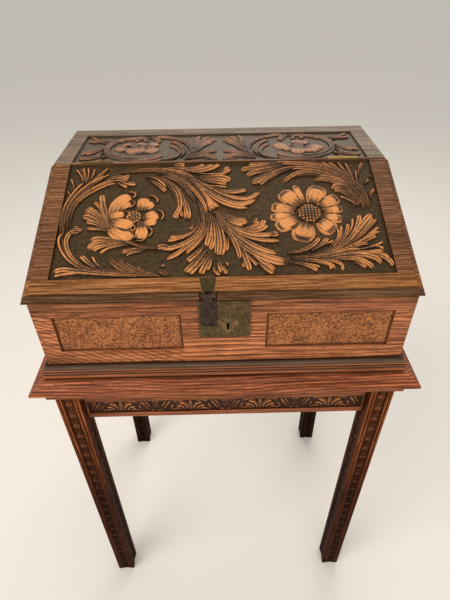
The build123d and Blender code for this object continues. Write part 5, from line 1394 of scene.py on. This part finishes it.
class BIBLEBOX_OT_stage(bpy.types.Operator):
    """Lay the pale floor and place the soft lamps and the camera"""

    bl_idname = "bible_box.stage"
    bl_label = "Stage"

    def execute(self, context):
        sizes, shades = context.scene.bible_box_sizes, context.scene.bible_box_colours
        scene = context.scene
        bm = bmesh.new()
        bmesh.ops.create_grid(bm, x_segments=4, y_segments=4, size=sizes.floor_size / 2)
        mesh = bpy.data.meshes.new("studio_floor")
        bm.to_mesh(mesh)
        bm.free()
        floor = bpy.data.objects.new("studio_floor", mesh)
        scene.collection.objects.link(floor)
        # matt paint: one even colour with no gloss
        made, tree = new_material("floor_painted_matt")
        paint = node(tree, "BsdfPrincipled", {"Base Color": (*shades.floor, 1.0),
                                              "Roughness": 0.9})
        node(tree, "OutputMaterial", {"Surface": paint})
        mesh.materials.append(made)

        world = bpy.data.worlds.new("soft_studio")
        world.use_nodes = True
        world.node_tree.nodes.clear()
        tree = world.node_tree
        soft = node(tree, "Background", {"Color": (1.0, 0.975, 0.94, 1.0), "Strength": 0.60})
        node(tree, "OutputWorld", {"Surface": soft})
        scene.world = world

        # name, place, aimed at, size across, watts
        lamps = (
            ("key_lamp", (-1.3, -1.2, 2.6), (0, 0, 0.8), 1.6, 30.0),
            ("top_lamp", (0.4, 1.5, 2.4), (0, 0, 0.9), 1.8, 22.0),
            ("front_lamp", (0.5, -2.7, 1.3), (0, 0, 0.7), 1.8, 18.0),
        )
        for name, place, aim, size, watts in lamps:
            light = bpy.data.lights.new(name, "AREA")
            light.shape = "DISK"
            light.size = size
            light.energy = watts
            light.color = (1.0, 0.95, 0.88)
            lamp = bpy.data.objects.new(name, light)
            scene.collection.objects.link(lamp)
            lamp.location = place
            lamp.rotation_euler = (Vector(aim) - Vector(place)).to_track_quat(
                "-Z", "Y").to_euler()

        camera = bpy.data.cameras.new("camera")
        camera.lens = 27.194
        camera.sensor_width = 36.0
        camera.sensor_fit = "AUTO"
        holder = bpy.data.objects.new("camera", camera)
        scene.collection.objects.link(holder)
        right = Vector((0.99970665, -0.02117704, -0.01175389))
        up = Vector((0.02241132, 0.62478745, 0.78047317))
        back = right.cross(up)
        holder.matrix_world = Matrix.Translation((-0.004066, -0.702173, 1.284407)) @ Matrix(
            (right, up, back)).transposed().to_4x4()
        scene.camera = holder
        scene.view_settings.view_transform = "Standard"
        return {"FINISHED"}


class BIBLEBOX_PT_panel(bpy.types.Panel):
    """The box's sizes, colours and pieces"""

    bl_idname = "BIBLEBOX_PT_panel"
    bl_label = "Bible Box"
    bl_space_type = "VIEW_3D"
    bl_region_type = "UI"
    bl_category = "Bible Box"

    def draw(self, context):
        for group in (context.scene.bible_box_sizes, context.scene.bible_box_colours):
            column = self.layout.column()
            for name in group.__annotations__:
                column.prop(group, name)
        for operator in OPERATORS:
            self.layout.operator(operator.bl_idname)


OPERATORS = (
    BIBLEBOX_OT_timber, BIBLEBOX_OT_metal, BIBLEBOX_OT_lid_carving, BIBLEBOX_OT_top_carving,
    BIBLEBOX_OT_frieze, BIBLEBOX_OT_leg_carving, BIBLEBOX_OT_panels, BIBLEBOX_OT_stage,
)
CLASSES = (BibleBoxSizes, BibleBoxColours, *OPERATORS, BIBLEBOX_PT_panel)


def register():
    for cls in CLASSES:
        bpy.utils.register_class(cls)
    bpy.types.Scene.bible_box_sizes = bpy.props.PointerProperty(type=BibleBoxSizes)
    bpy.types.Scene.bible_box_colours = bpy.props.PointerProperty(type=BibleBoxColours)


def unregister():
    del bpy.types.Scene.bible_box_colours
    del bpy.types.Scene.bible_box_sizes
    for cls in reversed(CLASSES):
        bpy.utils.unregister_class(cls)


def main():
    register()
    bpy.ops.bible_box.timber()
    bpy.ops.bible_box.metal()
    bpy.ops.bible_box.lid_carving()
    bpy.ops.bible_box.top_carving()
    bpy.ops.bible_box.frieze()
    bpy.ops.bible_box.leg_carving()
    bpy.ops.bible_box.panels()
    bpy.ops.bible_box.stage()


if __name__ == "__main__":
    main()
